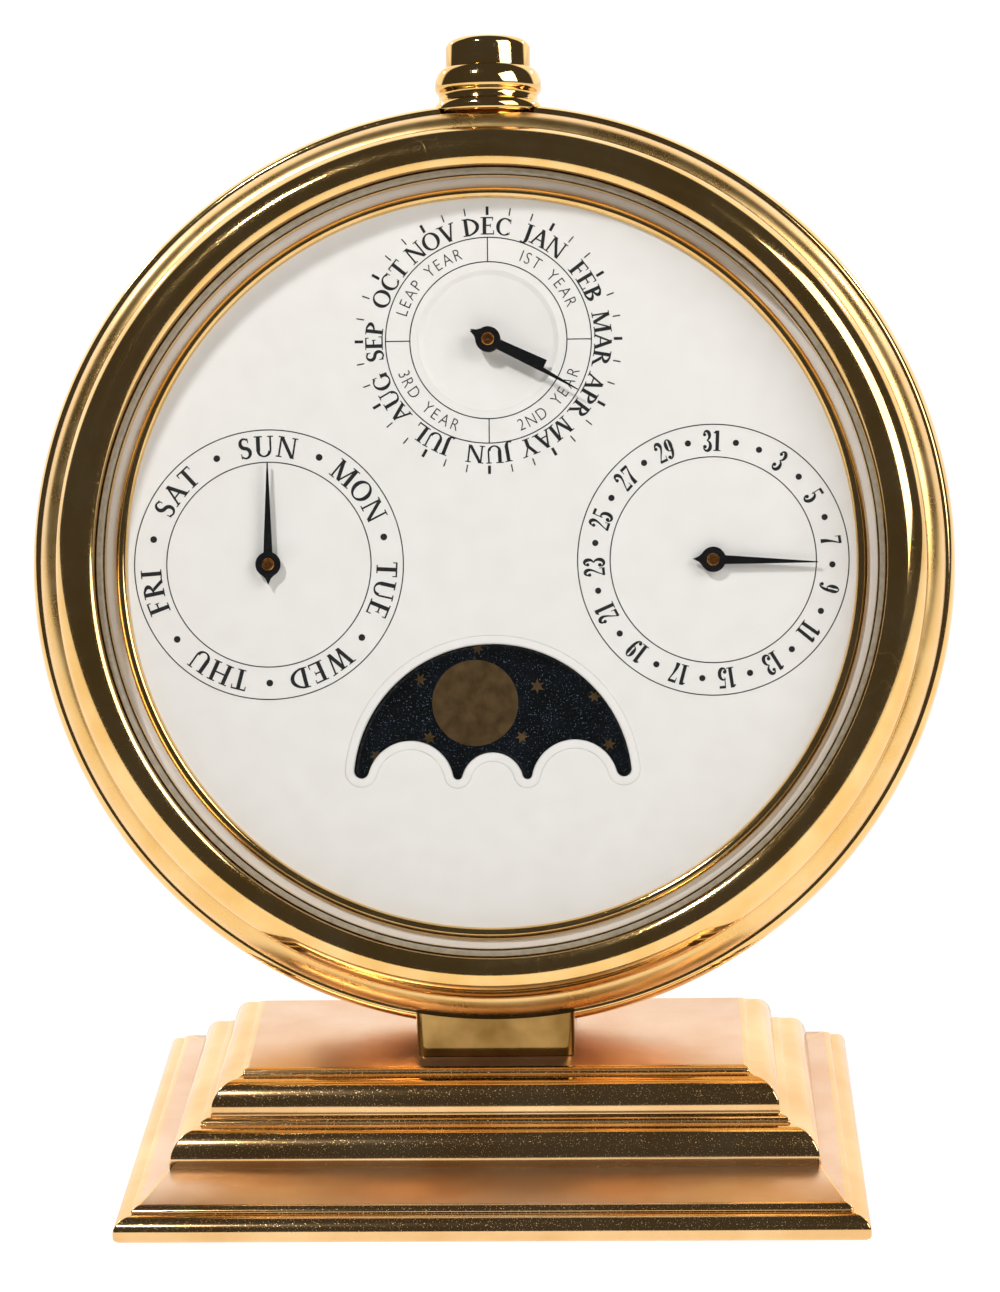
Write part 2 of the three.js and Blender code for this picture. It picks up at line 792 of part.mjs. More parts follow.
add(caseFrame, "main_plate", mainPlateGeometry(), brass);
add(caseFrame, "rear_plate", rearPlateGeometry(), brass);
pillarPlaces.forEach((place, i) => {
  const middle = (rearFront + mainBack) / 2;
  const body = rod(pillarRadius, rearFront + clearance, mainBack, ...place, smallTurn);
  const thread = rod(pillarScrewRadius + clearance, rearFront - overrun, middle, ...place);
  add(caseFrame, `pillar_${i + 1}`, cut(body, thread), brass);
  const head = rearBack - clearance;
  const shank = rod(pillarScrewRadius, head - fitGap, middle - clearance, ...place);
  const top = rod(pillarScrewHeadRadius, head - pillarScrewHeadHeight, head, ...place);
  add(caseFrame, `pillar_screw_${i + 1}`, join(shank, top), steel);
});

// Toothed wheels
// A wheel's outline with teeth that narrow to a named share of the pitch at the tip.
const tipShare = 0.2;
const rootShare = 0.3;
function toothed(teeth, tip, root, phase) {
  const points = [];
  const pitch = (4 * quarterTurn) / teeth;
  const corners = [[root, -rootShare], [tip, -tipShare / 2], [tip, tipShare / 2], [root, rootShare]];
  for (let i = 0; i < teeth; i += 1) {
    const middle = phase + i * pitch;
    corners.forEach(([radius, share]) => {
      const angle = middle + share * pitch;
      points.push([radius * Math.cos(angle), radius * Math.sin(angle)]);
    });
  }
  return outline(points);
}

// Pointed teeth, as on a calendar star.
function pointed(teeth, tip, root, phase) {
  const pitch = Math.PI / teeth;
  return outline(
    Array.from({ length: 2 * teeth }, (_, i) => {
      const radius = i % 2 ? root : tip;
      return [radius * Math.cos(phase + i * pitch), radius * Math.sin(phase + i * pitch)];
    }),
  );
}

// Cuts the windows between the spokes of a wheel.
function crossedOut(shape, root) {
  const inner = windowStartShare * root;
  const outer = root * (1 - rimShare);
  const half = (2 * quarterTurn) / spokes;
  const web = collarRadius;
  for (let i = 0; i < spokes; i += 1) {
    const middle = (2 * i + 1) * half;
    const [near, far] = [half - web / inner, half - web / outer];
    const hole = new THREE.Path();
    hole.absarc(0, 0, outer, middle - far, middle + far, false);
    hole.absarc(0, 0, inner, middle + near, middle - near, true);
    hole.closePath();
    shape.holes.push(hole);
  }
  return shape;
}

function bored(geometry, radius) {
  return cut(geometry, rod(radius, -caseRadius, caseRadius));
}

function at(geometry, axis) {
  return geometry.translate(axis[0], axis[1], 0);
}

// Hands
// A hand that points up before it is turned clockwise by the angle.
function handGeometry(length, tipWidth, bore, low, clockwise) {
  const half = Math.asin(handRootWidth / 2 / handHubRadius);
  const [from, to] = [quarterTurn + half, 5 * quarterTurn - half];
  const hub = arc(0, 0, handHubRadius, handHubRadius, from, to, 3 * rollSteps);
  const arm = [[tipWidth / 2, length], [-tipWidth / 2, length]];
  const tailRoot = handHubRadius * tailRootShare;
  const tail = outline([[-tailRoot, 0], [0, -handTailLength], [tailRoot, 0]]);
  const high = low + handThickness;
  const body = join(slice(outline([...hub, ...arm]), low, high), slice(tail, low, high));
  return facingOut(bored(body, bore).rotateZ(-THREE.MathUtils.degToRad(clockwise)));
}

const upperHandFloor = handFloor + handThickness + clearance;
const sideBore = tipRadius + fitGap;
add(
  caseFrame,
  "day_hand",
  at(handGeometry(dayHandLength, handTipWidth, sideBore, handFloor, dayHandAngle), dayAxis),
  blackSteel,
);
add(
  caseFrame,
  "date_hand",
  at(handGeometry(dateHandLength, handTipWidth, sideBore, handFloor, dateHandAngle), dateAxis),
  blackSteel,
);
add(
  caseFrame,
  "year_hand",
  at(handGeometry(yearHandLength, yearHandTipWidth, pipeOuter + fitGap, handFloor, yearHandAngle), monthAxis),
  blackSteel,
);
const monthBore = monthTipRadius + fitGap;
add(
  caseFrame,
  "month_hand",
  at(handGeometry(monthHandLength, handTipWidth, monthBore, upperHandFloor, monthHandAngle), monthAxis),
  blackSteel,
);

// Arbors
// A stepped arbor: pivot in the rear plate, body with a collar, and a thinner end towards the dial.
function arborGeometry(end, endRadius, shoulder) {
  return turned([
    [0, rearBack],
    [pivotRadius, rearBack],
    [pivotRadius, rearFront + clearance],
    [arborRadius, rearFront + clearance],
    [arborRadius, shoulder],
    [endRadius, shoulder],
    [endRadius, end],
    [0, end],
  ], pinTurn);
}
const bodyEnd = mainBack;
add(caseFrame, "day_arbor", at(arborGeometry(upperHandFloor, tipRadius, bodyEnd), dayAxis), brass);
add(caseFrame, "date_arbor", at(arborGeometry(upperHandFloor, tipRadius, bodyEnd), dateAxis), brass);
const monthTop = upperHandFloor + handThickness + clearance / 2;
const monthArbor = arborGeometry(monthTop, monthTipRadius, layer(2)[0] - clearance);
add(caseFrame, "month_arbor", at(monthArbor, monthAxis), brass);

// Day star
const wheelBore = arborRadius + fitGap;
const [firstLow, firstHigh] = layer(1);
function star(teeth, tip, root, phase, [low, high]) {
  return bored(slice(pointed(teeth, tip, root, phase), low, high), wheelBore);
}
const dayStar = star(starTeeth, starTipRadius, starRootRadius, (2 * quarterTurn) / starTeeth, layer(1));
add(caseFrame, "day_star", at(dayStar, dayAxis), steel);

// Date wheel and the finger that moves the month once a turn
const dateRoot = dateTipRadius - dateToothDepth;
function spoked(teeth, tip, root, bore, [low, high]) {
  return bored(slice(crossedOut(toothed(teeth, tip, root, 0), root), low, high, windowSteps), bore);
}
const dateWheel = spoked(dateTeeth, dateTipRadius, dateRoot, wheelBore, layer(1));
add(caseFrame, "date_wheel", at(dateWheel, dateAxis), brass);

const gearTip = monthPitch + monthModule;
const transferDistance = Math.hypot(dateAxis[0] - transferAxis[0], dateAxis[1] - transferAxis[1]);
const fingerReach = transferDistance - gearTip - clearance;
function fingerGeometry() {
  const tip = polar(0, 0, fingerReach - fingerWidth / 4, fingerRestAngle);
  const arm = bar([0, 0], tip, 2 * collarRadius, fingerWidth / 2, ...layer(4));
  return bored(arm, wheelBore);
}
add(caseFrame, "date_finger", at(fingerGeometry(), dateAxis), steel);

// Month train
const addendumShare = 0.9;
const dedendumShare = 1.25;
const monthRoot = monthPitch - dedendumShare * monthModule;
function gear(teeth, module, phase) {
  const pitch = (module * teeth) / 2;
  return toothed(teeth, pitch + addendumShare * module, pitch - dedendumShare * module, phase);
}
const meshAngle = THREE.MathUtils.degToRad(towardsDate);
const monthStep = Math.PI / monthTeeth;
function monthGear(phase) {
  return slice(crossedOut(gear(monthTeeth, monthModule, phase), monthRoot), ...layer(4), windowSteps);
}
add(caseFrame, "month_wheel", at(bored(monthGear(meshAngle), wheelBore), monthAxis), brass);
function transferGeometry() {
  const wheel = monthGear(meshAngle + Math.PI + monthStep);
  return join(wheel, arborGeometry(mainFront - 2 * clearance, pivotRadius, mainBack));
}
add(caseFrame, "transfer_wheel", at(transferGeometry(), transferAxis), brass);

// The four to one reduction to the year hand
const reductionAngle = THREE.MathUtils.degToRad(intermediateAngle);
function smallGear(teeth, phase, number) {
  return slice(gear(teeth, gearModule, phase), ...layer(number));
}
const largePhase = reductionAngle + Math.PI + Math.PI / reductionTeeth;
const monthPinion = bored(smallGear(pinionTeeth, reductionAngle, 3), wheelBore);
const intermediateWheel = bored(smallGear(reductionTeeth, largePhase, 3), wheelBore);
add(caseFrame, "month_pinion", at(monthPinion, monthAxis), steel);
add(caseFrame, "intermediate_wheel", at(intermediateWheel, intermediateAxis), brass);
function intermediateArborGeometry() {
  const pinion = smallGear(pinionTeeth, reductionAngle + Math.PI, 1);
  return join(arborGeometry(mainFront - 2 * clearance, pivotRadius, mainBack), pinion);
}
add(caseFrame, "intermediate_arbor", at(intermediateArborGeometry(), intermediateAxis), steel);

function yearWheelGeometry() {
  const wheel = smallGear(reductionTeeth, reductionAngle + Math.PI / reductionTeeth, 1);
  const pipe = rod(pipeOuter, layer(2)[0], handFloor + handThickness + fitGap, 0, 0, smallTurn);
  return bored(join(wheel, pipe), pipeInner);
}
add(caseFrame, "year_wheel", at(yearWheelGeometry(), monthAxis), brass);

// The cam's depth says how short each of the 48 months is: 31, 30, 28 or 29 days.
const shortMonths = [3, 5, 8, 10];
const february = 1;
const monthsInYear = 12;
const camFlankShare = 1 / 16;
function camGeometry() {
  const points = [];
  const step = (4 * quarterTurn) / camMonths;
  const flank = step * camFlankShare;
  for (let month = 0; month < camMonths; month += 1) {
    const name = month % monthsInYear;
    const februaryDepth = month < monthsInYear ? camLeapDepth : camFebruaryDepth;
    const usual = shortMonths.includes(name) ? camShortDepth : 0;
    const radius = camRadius - (name === february ? februaryDepth : usual);
    [-month * step - flank, -(month + 1) * step + flank].forEach((angle) => {
      points.push([radius * Math.cos(angle), radius * Math.sin(angle)]);
    });
  }
  return bored(slice(outline(points), ...layer(2)), pipeOuter + fitGap);
}
add(caseFrame, "year_cam", at(camGeometry(), monthAxis), steel);

// Moon train
const discFront = mainFront - clearance;
const discBack = discFront - moonDiscThickness;
add(
  caseFrame,
  "moon_disc",
  at(ring(arborRadius + fitGap, moonDiscRadius, discBack, discFront, bigTurn), moonAxis),
  moonBlue,
);
add(
  caseFrame,
  "moon_arbor",
  at(
    turned([
      [0, rearBack],
      [pivotRadius, rearBack],
      [pivotRadius, rearFront + clearance],
      [moonArbor, rearFront + clearance],
      [moonArbor, discBack - fitGap],
      [arborRadius, discBack - fitGap],
      [arborRadius, discFront],
      [0, discFront],
    ], pinTurn),
    moonAxis,
  ),
  brass,
);
const moonRoot = moonTipRadius - moonToothDepth;
function moonWheelGeometry() {
  const phase = quarterTurn + Math.PI / moonTeeth;
  const shape = crossedOut(pointed(moonTeeth, moonTipRadius, moonRoot, phase), moonRoot);
  return bored(slice(shape, ...layer(1), windowSteps), moonArbor + fitGap);
}
add(caseFrame, "moon_wheel", at(moonWheelGeometry(), moonAxis), brass);

// Jumpers, sprung detents that index each wheel
// The nose stands just outside the teeth, at an angle about the wheel's axis; the eye is screwed to a plate.
function jumperGeometry(axis, tip, degrees, eye, [low, high]) {
  const noseTip = polar(...axis, tip + clearance + fitGap, degrees);
  const shoulders = [-1, 1].map((side) => {
    const [x, y] = polar(...axis, tip + clearance + jumperNose, degrees);
    const [dx, dy] = polar(0, 0, jumperNose / 2, degrees + side * rightAngle);
    return [x + dx, y + dy];
  });
  const nose = facingOut(slice(outline([noseTip, shoulders[1], shoulders[0]]), low, high));
  const [x, y] = polar(...axis, tip + clearance + jumperNose - fitGap, degrees);
  const blade = bar(eye, [x, y], 2 * jumperArm, jumperArm, low, high);
  const pad = rod(jumperEye, low, high, ...eye);
  return cut(join(blade, nose, pad), rod(pillarScrewRadius, low - overrun, high + overrun, ...eye));
}
const jumpers = [
  { name: "day_jumper", axis: dayAxis, tip: starTipRadius, number: 1 },
  { name: "date_jumper", axis: dateAxis, tip: dateTipRadius, number: 1 },
  { name: "moon_jumper", axis: moonAxis, tip: moonTipRadius, number: 1 },
  { name: "month_jumper", axis: monthAxis, tip: gearTip, number: 4 },
];
jumpers.forEach(({ name, axis, tip, number }, i) => {
  const eye = polar(...axis, tip + jumperEyeGaps[i], jumperEyeAngles[i]);
  add(caseFrame, name, jumperGeometry(axis, tip, jumperNoseAngles[i], eye, layer(number)), steel);
});

// Operating lever: three arms carry the pawls, one carries the beak that reads the cam, one takes the push
function reachTo(axis, tip) {
  const distance = Math.hypot(axis[0] - leverPivotX, axis[1] - leverPivotY);
  const degrees = (Math.atan2(axis[1] - leverPivotY, axis[0] - leverPivotX) * 180) / Math.PI;
  return { reach: distance - tip - clearance - fitGap, degrees };
}
const pawlTargets = [
  ["day_pawl", reachTo(dayAxis, starTipRadius)],
  ["date_pawl", reachTo(dateAxis, dateTipRadius)],
  ["moon_pawl", reachTo(moonAxis, moonTipRadius)],
];
const leverPin = [leverPivotX - leverReach, leverPivotY + leverPinRise];

function leverGeometry() {
  const [low, high] = layer(2);
  const arms = pawlTargets.map(([, { reach, degrees }]) => {
    const end = polar(...leverPivot, reach - pawlLength / 2, degrees);
    return bar(leverPivot, end, leverArmRoot, leverArmTip, low, high);
  });
  const beak = reachTo(monthAxis, camRadius);
  const beakTip = polar(...leverPivot, beak.reach - beakWidth / 2, beak.degrees);
  const pieces = [
    bar(leverPivot, beakTip, leverArmRoot, beakWidth, low, high),
    bar(leverPivot, leverPin, leverArmRoot, leverArmTip, low, high),
    rod(leverPinRadius, layer(4)[0], high, ...leverPin),
  ];
  const whole = join(rod(leverBossRadius, low, high, ...leverPivot, smallTurn), ...arms, ...pieces);
  return cut(whole, rod(leverPostRadius + clearance, low - overrun, high + overrun, ...leverPivot));
}
add(caseFrame, "operating_lever", leverGeometry(), steel);
add(caseFrame, "lever_post", rod(leverPostRadius, rearBack, mainFront - 2 * clearance, ...leverPivot), steel);

pawlTargets.forEach(([name, { reach, degrees }]) => {
  const root = polar(...leverPivot, reach - pawlLength, degrees);
  const tip = polar(...leverPivot, reach - pawlNose / 2, degrees);
  add(caseFrame, name, bar(root, tip, pawlWidth, pawlNose, firstLow, firstHigh), steel);
});

// The blade that brings the lever back; the lever's arm moves towards it by its stroke.
const strokeAngle = buttonTravel / leverReach;
const springEye = [springEyeX, springEyeY];
function leverSpringGeometry() {
  const [low, high] = layer(2);
  const moonArm = pawlTargets[2][1];
  const [x, y] = polar(...leverPivot, springContact, moonArm.degrees);
  const gap = leverArmRoot / 2 + clearance + strokeAngle * springContact + springBlade / 2;
  const blade = bar(springEye, [x + gap, y], 2 * springBlade, springBlade, low, high);
  const foot = rod(jumperEye, low, firstHigh, ...springEye);
  return cut(join(blade, foot), rod(pillarScrewRadius, low - overrun, firstHigh + overrun, ...springEye));
}
add(caseFrame, "lever_spring", leverSpringGeometry(), steel);

// Push button
// Two rolls with a groove between them, round a bore with a floor and a wider mouth for the button's head.
const pendantMouth = buttonRadius + clearance;
const mouthFloor = buttonFoot - buttonTravel - clearance;
function pendantGeometry() {
  const lowerCentre = lowerRingRadius - lowerRingSection;
  const upperSection = upperRingRadius - pendantMouth;
  const lowerEnd = Math.acos((ringGroove - lowerCentre) / lowerRingSection);
  const upperStart = -Math.acos((ringGroove - pendantMouth) / upperSection);
  const upperRise = upperRingTop - upperRingPlace;
  const lower = arc(
    lowerCentre, lowerRingPlace, lowerRingSection, lowerRingSection, -quarterTurn, lowerEnd, 2 * rollSteps,
  );
  const footSteps = rollSteps / 2;
  const upperFoot = arc(pendantMouth, upperRingPlace, upperSection, upperSection, upperStart, 0, footSteps);
  const upper = arc(pendantMouth, upperRingPlace, upperSection, upperRise, 0, quarterTurn, rollSteps);
  const profile = [
    [stemRadius + clearance, pendantFoot],
    [pendantNeckRadius, pendantFoot],
    [pendantNeckRadius, lowerRingPlace - lowerRingSection],
    ...lower,
    ...upperFoot,
    ...upper.slice(1),
    [pendantMouth, mouthFloor],
    [pendantBore, mouthFloor],
    [pendantBore, pendantFoot + pendantFloor],
    [stemRadius + clearance, pendantFoot + pendantFloor],
    [stemRadius + clearance, pendantFoot],
  ];
  return axisToUp(turned(profile, midTurn));
}
add(caseFrame, "pendant", pendantGeometry(), gilt);

const barrelFoot = buttonFoot - buttonBarrelLength;
function buttonGeometry() {
  const [edgeRadius, edgeFoot] = [buttonRadius - buttonEdge, buttonTop - buttonEdge];
  return axisToUp(
    turned([
      [stemRadius + fitGap, barrelFoot],
      [buttonBarrel, barrelFoot],
      [buttonBarrel, buttonFoot],
      [buttonRadius, buttonFoot],
      ...arc(edgeRadius, edgeFoot, buttonEdge, buttonEdge, 0, quarterTurn, cornerSteps),
      [0, buttonTop],
      [0, edgeFoot],
      [stemRadius + fitGap, edgeFoot],
      [stemRadius + fitGap, barrelFoot],
    ], midTurn),
  );
}
add(caseFrame, "push_button", buttonGeometry(), gilt);
function stemGeometry() {
  const shank = rod(stemRadius, stemEnd, buttonTop - buttonEdge - fitGap);
  return axisToUp(join(shank, rod(stemFootRadius, stemEnd, stemEnd + stemFootHeight, 0, 0, smallTurn)));
}
add(caseFrame, "button_stem", stemGeometry(), steel);

// The return spring stands on the pendant's floor and lifts the button's barrel.
class Helix extends THREE.Curve {
  constructor(radius, low, high, turns) {
    super();
    Object.assign(this, { radius, low, high, turns });
  }

  getPoint(t, target = new THREE.Vector3()) {
    const angle = 4 * quarterTurn * this.turns * t;
    const height = this.low + (this.high - this.low) * t;
    return target.set(this.radius * Math.cos(angle), this.radius * Math.sin(angle), height);
  }
}
function springGeometry() {
  const low = pendantFoot + pendantFloor + springWire + clearance;
  const high = barrelFoot - springWire - clearance;
  const path = new Helix(springCoil, low, high, springTurns);
  const wire = outline(arc(0, 0, springWire, springWire, 0, 4 * quarterTurn, springFacets).slice(1));
  const options = { steps: turnSteps * springTurns, extrudePath: path, bevelEnabled: false };
  return axisToUp(facingOut(new THREE.ExtrudeGeometry(wire, options)));
}
add(caseFrame, "return_spring", springGeometry(), steel);

// The yoke carries the push from the stem round the month train to the lever's pin.
function yokeGeometry() {
  const [low, high] = layer(4);
  const top = stemEnd - clearance - yokeWidth / 2;
  const finger = leverPin[1] + leverPinRadius + clearance + yokeWidth / 2;
  return join(
    bar([0, top], [-yokeElbow, top], yokeWidth, yokeWidth, low, high),
    bar([-yokeElbow, top], [leverPin[0], yokeShoulder], yokeWidth, yokeWidth, low, high),
    bar([leverPin[0], yokeShoulder], [leverPin[0], finger], yokeWidth, yokeWidth, low, high),
  );
}
add(caseFrame, "push_yoke", yokeGeometry(), steel);

export default calendar;
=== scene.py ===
# %% [markdown]
# This lesson dresses a perpetual desk calendar: a gilt case on a stepped plinth, with four displays on its
# dial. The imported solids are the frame. Each cell makes one real piece, or the finish of one, in the same
# place.

import json
import math

import bmesh
import bpy
from mathutils import Matrix, Vector


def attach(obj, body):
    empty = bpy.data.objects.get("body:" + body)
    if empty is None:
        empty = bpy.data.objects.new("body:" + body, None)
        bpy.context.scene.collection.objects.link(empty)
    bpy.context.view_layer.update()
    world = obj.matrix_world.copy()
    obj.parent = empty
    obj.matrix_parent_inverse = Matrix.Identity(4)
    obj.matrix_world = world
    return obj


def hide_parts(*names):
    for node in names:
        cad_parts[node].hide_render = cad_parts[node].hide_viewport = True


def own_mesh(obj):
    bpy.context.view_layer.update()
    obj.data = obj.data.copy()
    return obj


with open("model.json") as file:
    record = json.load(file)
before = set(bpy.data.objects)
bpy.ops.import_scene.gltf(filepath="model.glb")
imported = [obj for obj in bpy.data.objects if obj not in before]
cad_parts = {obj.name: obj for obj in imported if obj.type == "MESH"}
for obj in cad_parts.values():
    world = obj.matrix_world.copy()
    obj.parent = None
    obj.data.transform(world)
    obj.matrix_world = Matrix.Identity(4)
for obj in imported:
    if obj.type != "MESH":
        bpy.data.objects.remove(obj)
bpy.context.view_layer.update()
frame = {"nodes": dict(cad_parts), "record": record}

# %% [markdown]
# The dial side leans back, so the round pieces are drawn in the case's own axes, in millimetres. There X
# points right, Y up along the dial and Z out of the dial, with zero on the dial's face. One matrix carries
# these points into the room, which is in metres.

# %% The two sets of axes
MM = 0.001
LEAN = math.radians(17.3)
DIAL_CENTRE = Vector((0, 10.36, 66.48))
ROOM = Matrix.Scale(MM, 4)
CASE = ROOM @ Matrix.Translation(DIAL_CENTRE) @ Matrix.Rotation(math.pi / 2 - LEAN, 4, "X")
print("dial faces", tuple(round(v, 3) for v in (CASE.to_3x3() @ Vector((0, 0, 1))).normalized()))

# %% [markdown]
# The camera stands a little to the right of the middle and looks down by about 16 degrees, close to the
# object. It was fitted to the circles of the dial and the steps of the plinth. The picture is taken to be
# 1000 by 1292.

# %% Camera
IMAGE_HEIGHT = 1292
FOCAL_PIXELS = 3663.6
CAMERA_PLACE = Vector((17.55, -387.3, 172.74))
CAMERA_YAW, CAMERA_PITCH, CAMERA_ROLL = (math.radians(v) for v in (-2.402, 16.261, -1.261))


def camera_matrix():
    """Where the camera stands, with its picture's right, up and back as the matrix's columns."""
    level_right = Vector((math.cos(CAMERA_YAW), -math.sin(CAMERA_YAW), 0))
    ahead_level = Vector((math.sin(CAMERA_YAW), math.cos(CAMERA_YAW), 0))
    ahead = math.cos(CAMERA_PITCH) * ahead_level - math.sin(CAMERA_PITCH) * Vector((0, 0, 1))
    level_up = level_right.cross(ahead)
    right = math.cos(CAMERA_ROLL) * level_right + math.sin(CAMERA_ROLL) * level_up
    up = math.cos(CAMERA_ROLL) * level_up - math.sin(CAMERA_ROLL) * level_right
    turn = Matrix((right, up, -ahead)).transposed().to_4x4()
    return Matrix.Translation(CAMERA_PLACE * MM) @ turn


lens = bpy.data.cameras.new("photo_camera")
lens.sensor_width = 36
lens.lens = FOCAL_PIXELS / IMAGE_HEIGHT * lens.sensor_width
lens.clip_start, lens.clip_end = 0.01, 20
camera = bpy.data.objects.new("photo_camera", lens)
camera.matrix_world = camera_matrix()
bpy.context.scene.collection.objects.link(camera)
bpy.context.scene.camera = camera
print("lens mm:", round(lens.lens, 1))

# %% [markdown]
# Every finish is a node tree. One small function adds a node, fills in its settings and makes its links.
# Colours are written as they look on a screen, and one function turns them to the linear values Blender
# needs.

# %% Helpers for finishes
def linear(code):
    """A screen colour such as #EBC27A as linear red, green, blue and alpha."""
    parts = [int(code[i : i + 2], 16) / 255 for i in (1, 3, 5)]
    return tuple(v / 12.92 if v <= 0.04045 else ((v + 0.055) / 1.055) ** 2.4 for v in parts) + (1.0,)


def node(tree, kind, settings=None, **values):
    """Adds a node. Settings are attributes, and a value is a socket's default or the socket that feeds it."""
    made = tree.nodes.new(kind)
    for name, value in (settings or {}).items():
        setattr(made, name, value)
    for name, value in values.items():
        key = int(name[1:]) if name[1:].isdigit() else name.replace("_", " ")
        socket = made.inputs[key]
        if isinstance(value, bpy.types.NodeSocket):
            tree.links.new(value, socket)
        else:
            socket.default_value = value
    return made


def maths(tree, operation, *values):
    """What a Math node makes of numbers or sockets."""
    numbered = {f"_{i}": value for i, value in enumerate(values)}
    return node(tree, "ShaderNodeMath", {"operation": operation}, **numbered).outputs[0]


def spread(tree, source, low, high):
    """A number from 0 to 1, carried over to the range from low to high."""
    return node(tree, "ShaderNodeMapRange", Value=source, _3=low, _4=high).outputs[0]


def ramp(tree, source, low, high, low_code, high_code):
    """Turns a number into a colour, from one colour below low to the other above high."""
    made = node(tree, "ShaderNodeValToRGB", Fac=source)
    for stop, position, code in zip(made.color_ramp.elements, (low, high), (low_code, high_code)):
        stop.position, stop.color = position, linear(code)
    return made.outputs["Color"]


def grain(tree, size_mm, stretch=(1, 1, 1), detail=2.0):
    """Noise whose blobs are about size_mm across on the object, pulled out along an axis by stretch."""
    place = node(tree, "ShaderNodeTexCoord").outputs["Object"]
    scale = tuple(1 / (size_mm * MM * s) for s in stretch)
    moved = node(tree, "ShaderNodeMapping", Vector=place, Scale=scale).outputs["Vector"]
    noise = node(tree, "ShaderNodeTexNoise", Vector=moved, Scale=1.0, Detail=detail, Roughness=0.5)
    return noise.outputs["Fac"]


def finish(name, **values):
    """A new material with one Principled shader. Returns the material, its tree and the shader."""
    material = bpy.data.materials.new(name)
    material.use_nodes = True
    tree = material.node_tree
    shader = tree.nodes["Principled BSDF"]
    for key, value in values.items():
        shader.inputs[key.replace("_", " ")].default_value = value
    return material, tree, shader


def dress(tree, shader, colour, roughness, height, strength, depth_mm):
    """Feeds the shader a colour and a roughness, and a relief made from a height."""
    bump = node(tree, "ShaderNodeBump", Strength=strength, Distance=depth_mm * MM, Height=height)
    tree.links.new(bump.outputs["Normal"], shader.inputs["Normal"])
    tree.links.new(colour, shader.inputs["Base Color"])
    if roughness is not None:
        tree.links.new(roughness, shader.inputs["Roughness"])


print("helpers ready")

# %% [markdown]
# The case is gilt brass: brass that was turned, polished to a mirror and plated with gold. A mirror finish
# shows the room, so its own detail is slight: a soft unevenness, hairlines from years of wiping, and dust
# that has dried on. The hairlines are the thin contour lines of a slow noise, which gives long curved
# scratches. Hairlines really are some microns wide and are drawn as coarse as they need to be to show.

# %% Polished gilt brass
GILT, GILT_DEEP = "#F0CB8C", "#E6BA72"
PATCH_MM, PATCH_LOW, PATCH_HIGH = 6.0, 0.35, 0.7
SMOOTHER, ROUGHER = 0.7, 1.5
SCRATCH_SHARE, DUST_MM, MARK_ROUGHNESS = 0.0003, 0.1, 0.14
GILT_RELIEF, GILT_DEPTH_MM = 0.05, 0.02


def gilt_finish(name, light, deep, roughness, scratch_mm, dust_share):
    material, tree, shader = finish(name, Metallic=1.0, Roughness=roughness)
    patches = grain(tree, PATCH_MM, detail=3)
    contour = maths(tree, "SUBTRACT", grain(tree, scratch_mm, detail=1.5), 0.5)
    scratch = maths(tree, "LESS_THAN", maths(tree, "ABSOLUTE", contour), SCRATCH_SHARE)
    dust = maths(tree, "GREATER_THAN", grain(tree, DUST_MM, detail=0), 1 - dust_share)
    marks = maths(tree, "MAXIMUM", scratch, dust)
    haze = spread(tree, patches, roughness * SMOOTHER, roughness * ROUGHER)
    uneven = maths(tree, "MULTIPLY_ADD", marks, MARK_ROUGHNESS, haze)
    dress(tree, shader, ramp(tree, patches, PATCH_LOW, PATCH_HIGH, deep, light), uneven,
          maths(tree, "ADD", patches, marks), GILT_RELIEF, GILT_DEPTH_MM)
    return material


polished_gilt = gilt_finish("polished_gilt_brass", GILT, GILT_DEEP, 0.07, 14, 0.27)
crown_gilt = gilt_finish("crown_gilt_brass", GILT, GILT_DEEP, 0.05, 9, 0.2)
satin_gilt = gilt_finish("satin_gilt_brass", GILT, GILT_DEEP, 0.26, 5, 0.34)
# The neck's colours are painted darker than the case's gilt: a painted dark reflection on its front, not
# tarnish.
neck_gilt_painted_dark = gilt_finish("gilt_brass_painted_dark_reflection", "#B08D55", "#7F6030", 0.08, 6, 0.3)
print("gilt:", polished_gilt.name, crown_gilt.name, satin_gilt.name, neck_gilt_painted_dark.name)

# %% [markdown]
# The plinth is the same gilt brass, but its flats were lined along their length with fine abrasive before
# plating. The lines are about 0.1 mm apart: a noise pulled out along X. They spread the reflection
# sideways.

# %% Lined gilt brass
LINE_MM, LINE_STRETCH, LINE_DEPTH_MM = 0.12, 160, 0.01
LINT_MM, LINT_ABOVE, LINT_ROUGHNESS = 0.14, 0.69, 0.25
CLOUD_MM, CLOUD_LOW, CLOUD_HIGH = 9.0, 0.3, 0.7


def lined_gilt(name, light, deep, smoothest, roughest, relief):
    material, tree, shader = finish(name, Metallic=1.0)
    lines = grain(tree, LINE_MM, stretch=(LINE_STRETCH, 1, 1))
    lint = maths(tree, "GREATER_THAN", grain(tree, LINT_MM, detail=1), LINT_ABOVE)
    uneven = maths(tree, "MULTIPLY_ADD", lint, LINT_ROUGHNESS, spread(tree, lines, smoothest, roughest))
    colour = ramp(tree, grain(tree, CLOUD_MM, detail=3), CLOUD_LOW, CLOUD_HIGH, deep, light)
    dress(tree, shader, colour, uneven, lines, relief, LINE_DEPTH_MM)
    return material


plinth_gilt = lined_gilt("lined_gilt_brass", "#EEC893", "#DDB075", 0.05, 0.16, 0.2)
flat_gilt = lined_gilt("satin_lined_gilt_brass", "#E8CCB4", "#DDB694", 0.26, 0.42, 0.4)
print("plinth finishes:", plinth_gilt.name, flat_gilt.name)

# %% [markdown]
# The dial is brass under a matt warm white lacquer, a little uneven where it was sprayed. Ink is a thick
# black print, and the hands are steel, heated until an oxide turned them black.

# %% Lacquer, ink and blackened steel
UNEVEN, PLAIN_RELIEF = 0.2, 0.3


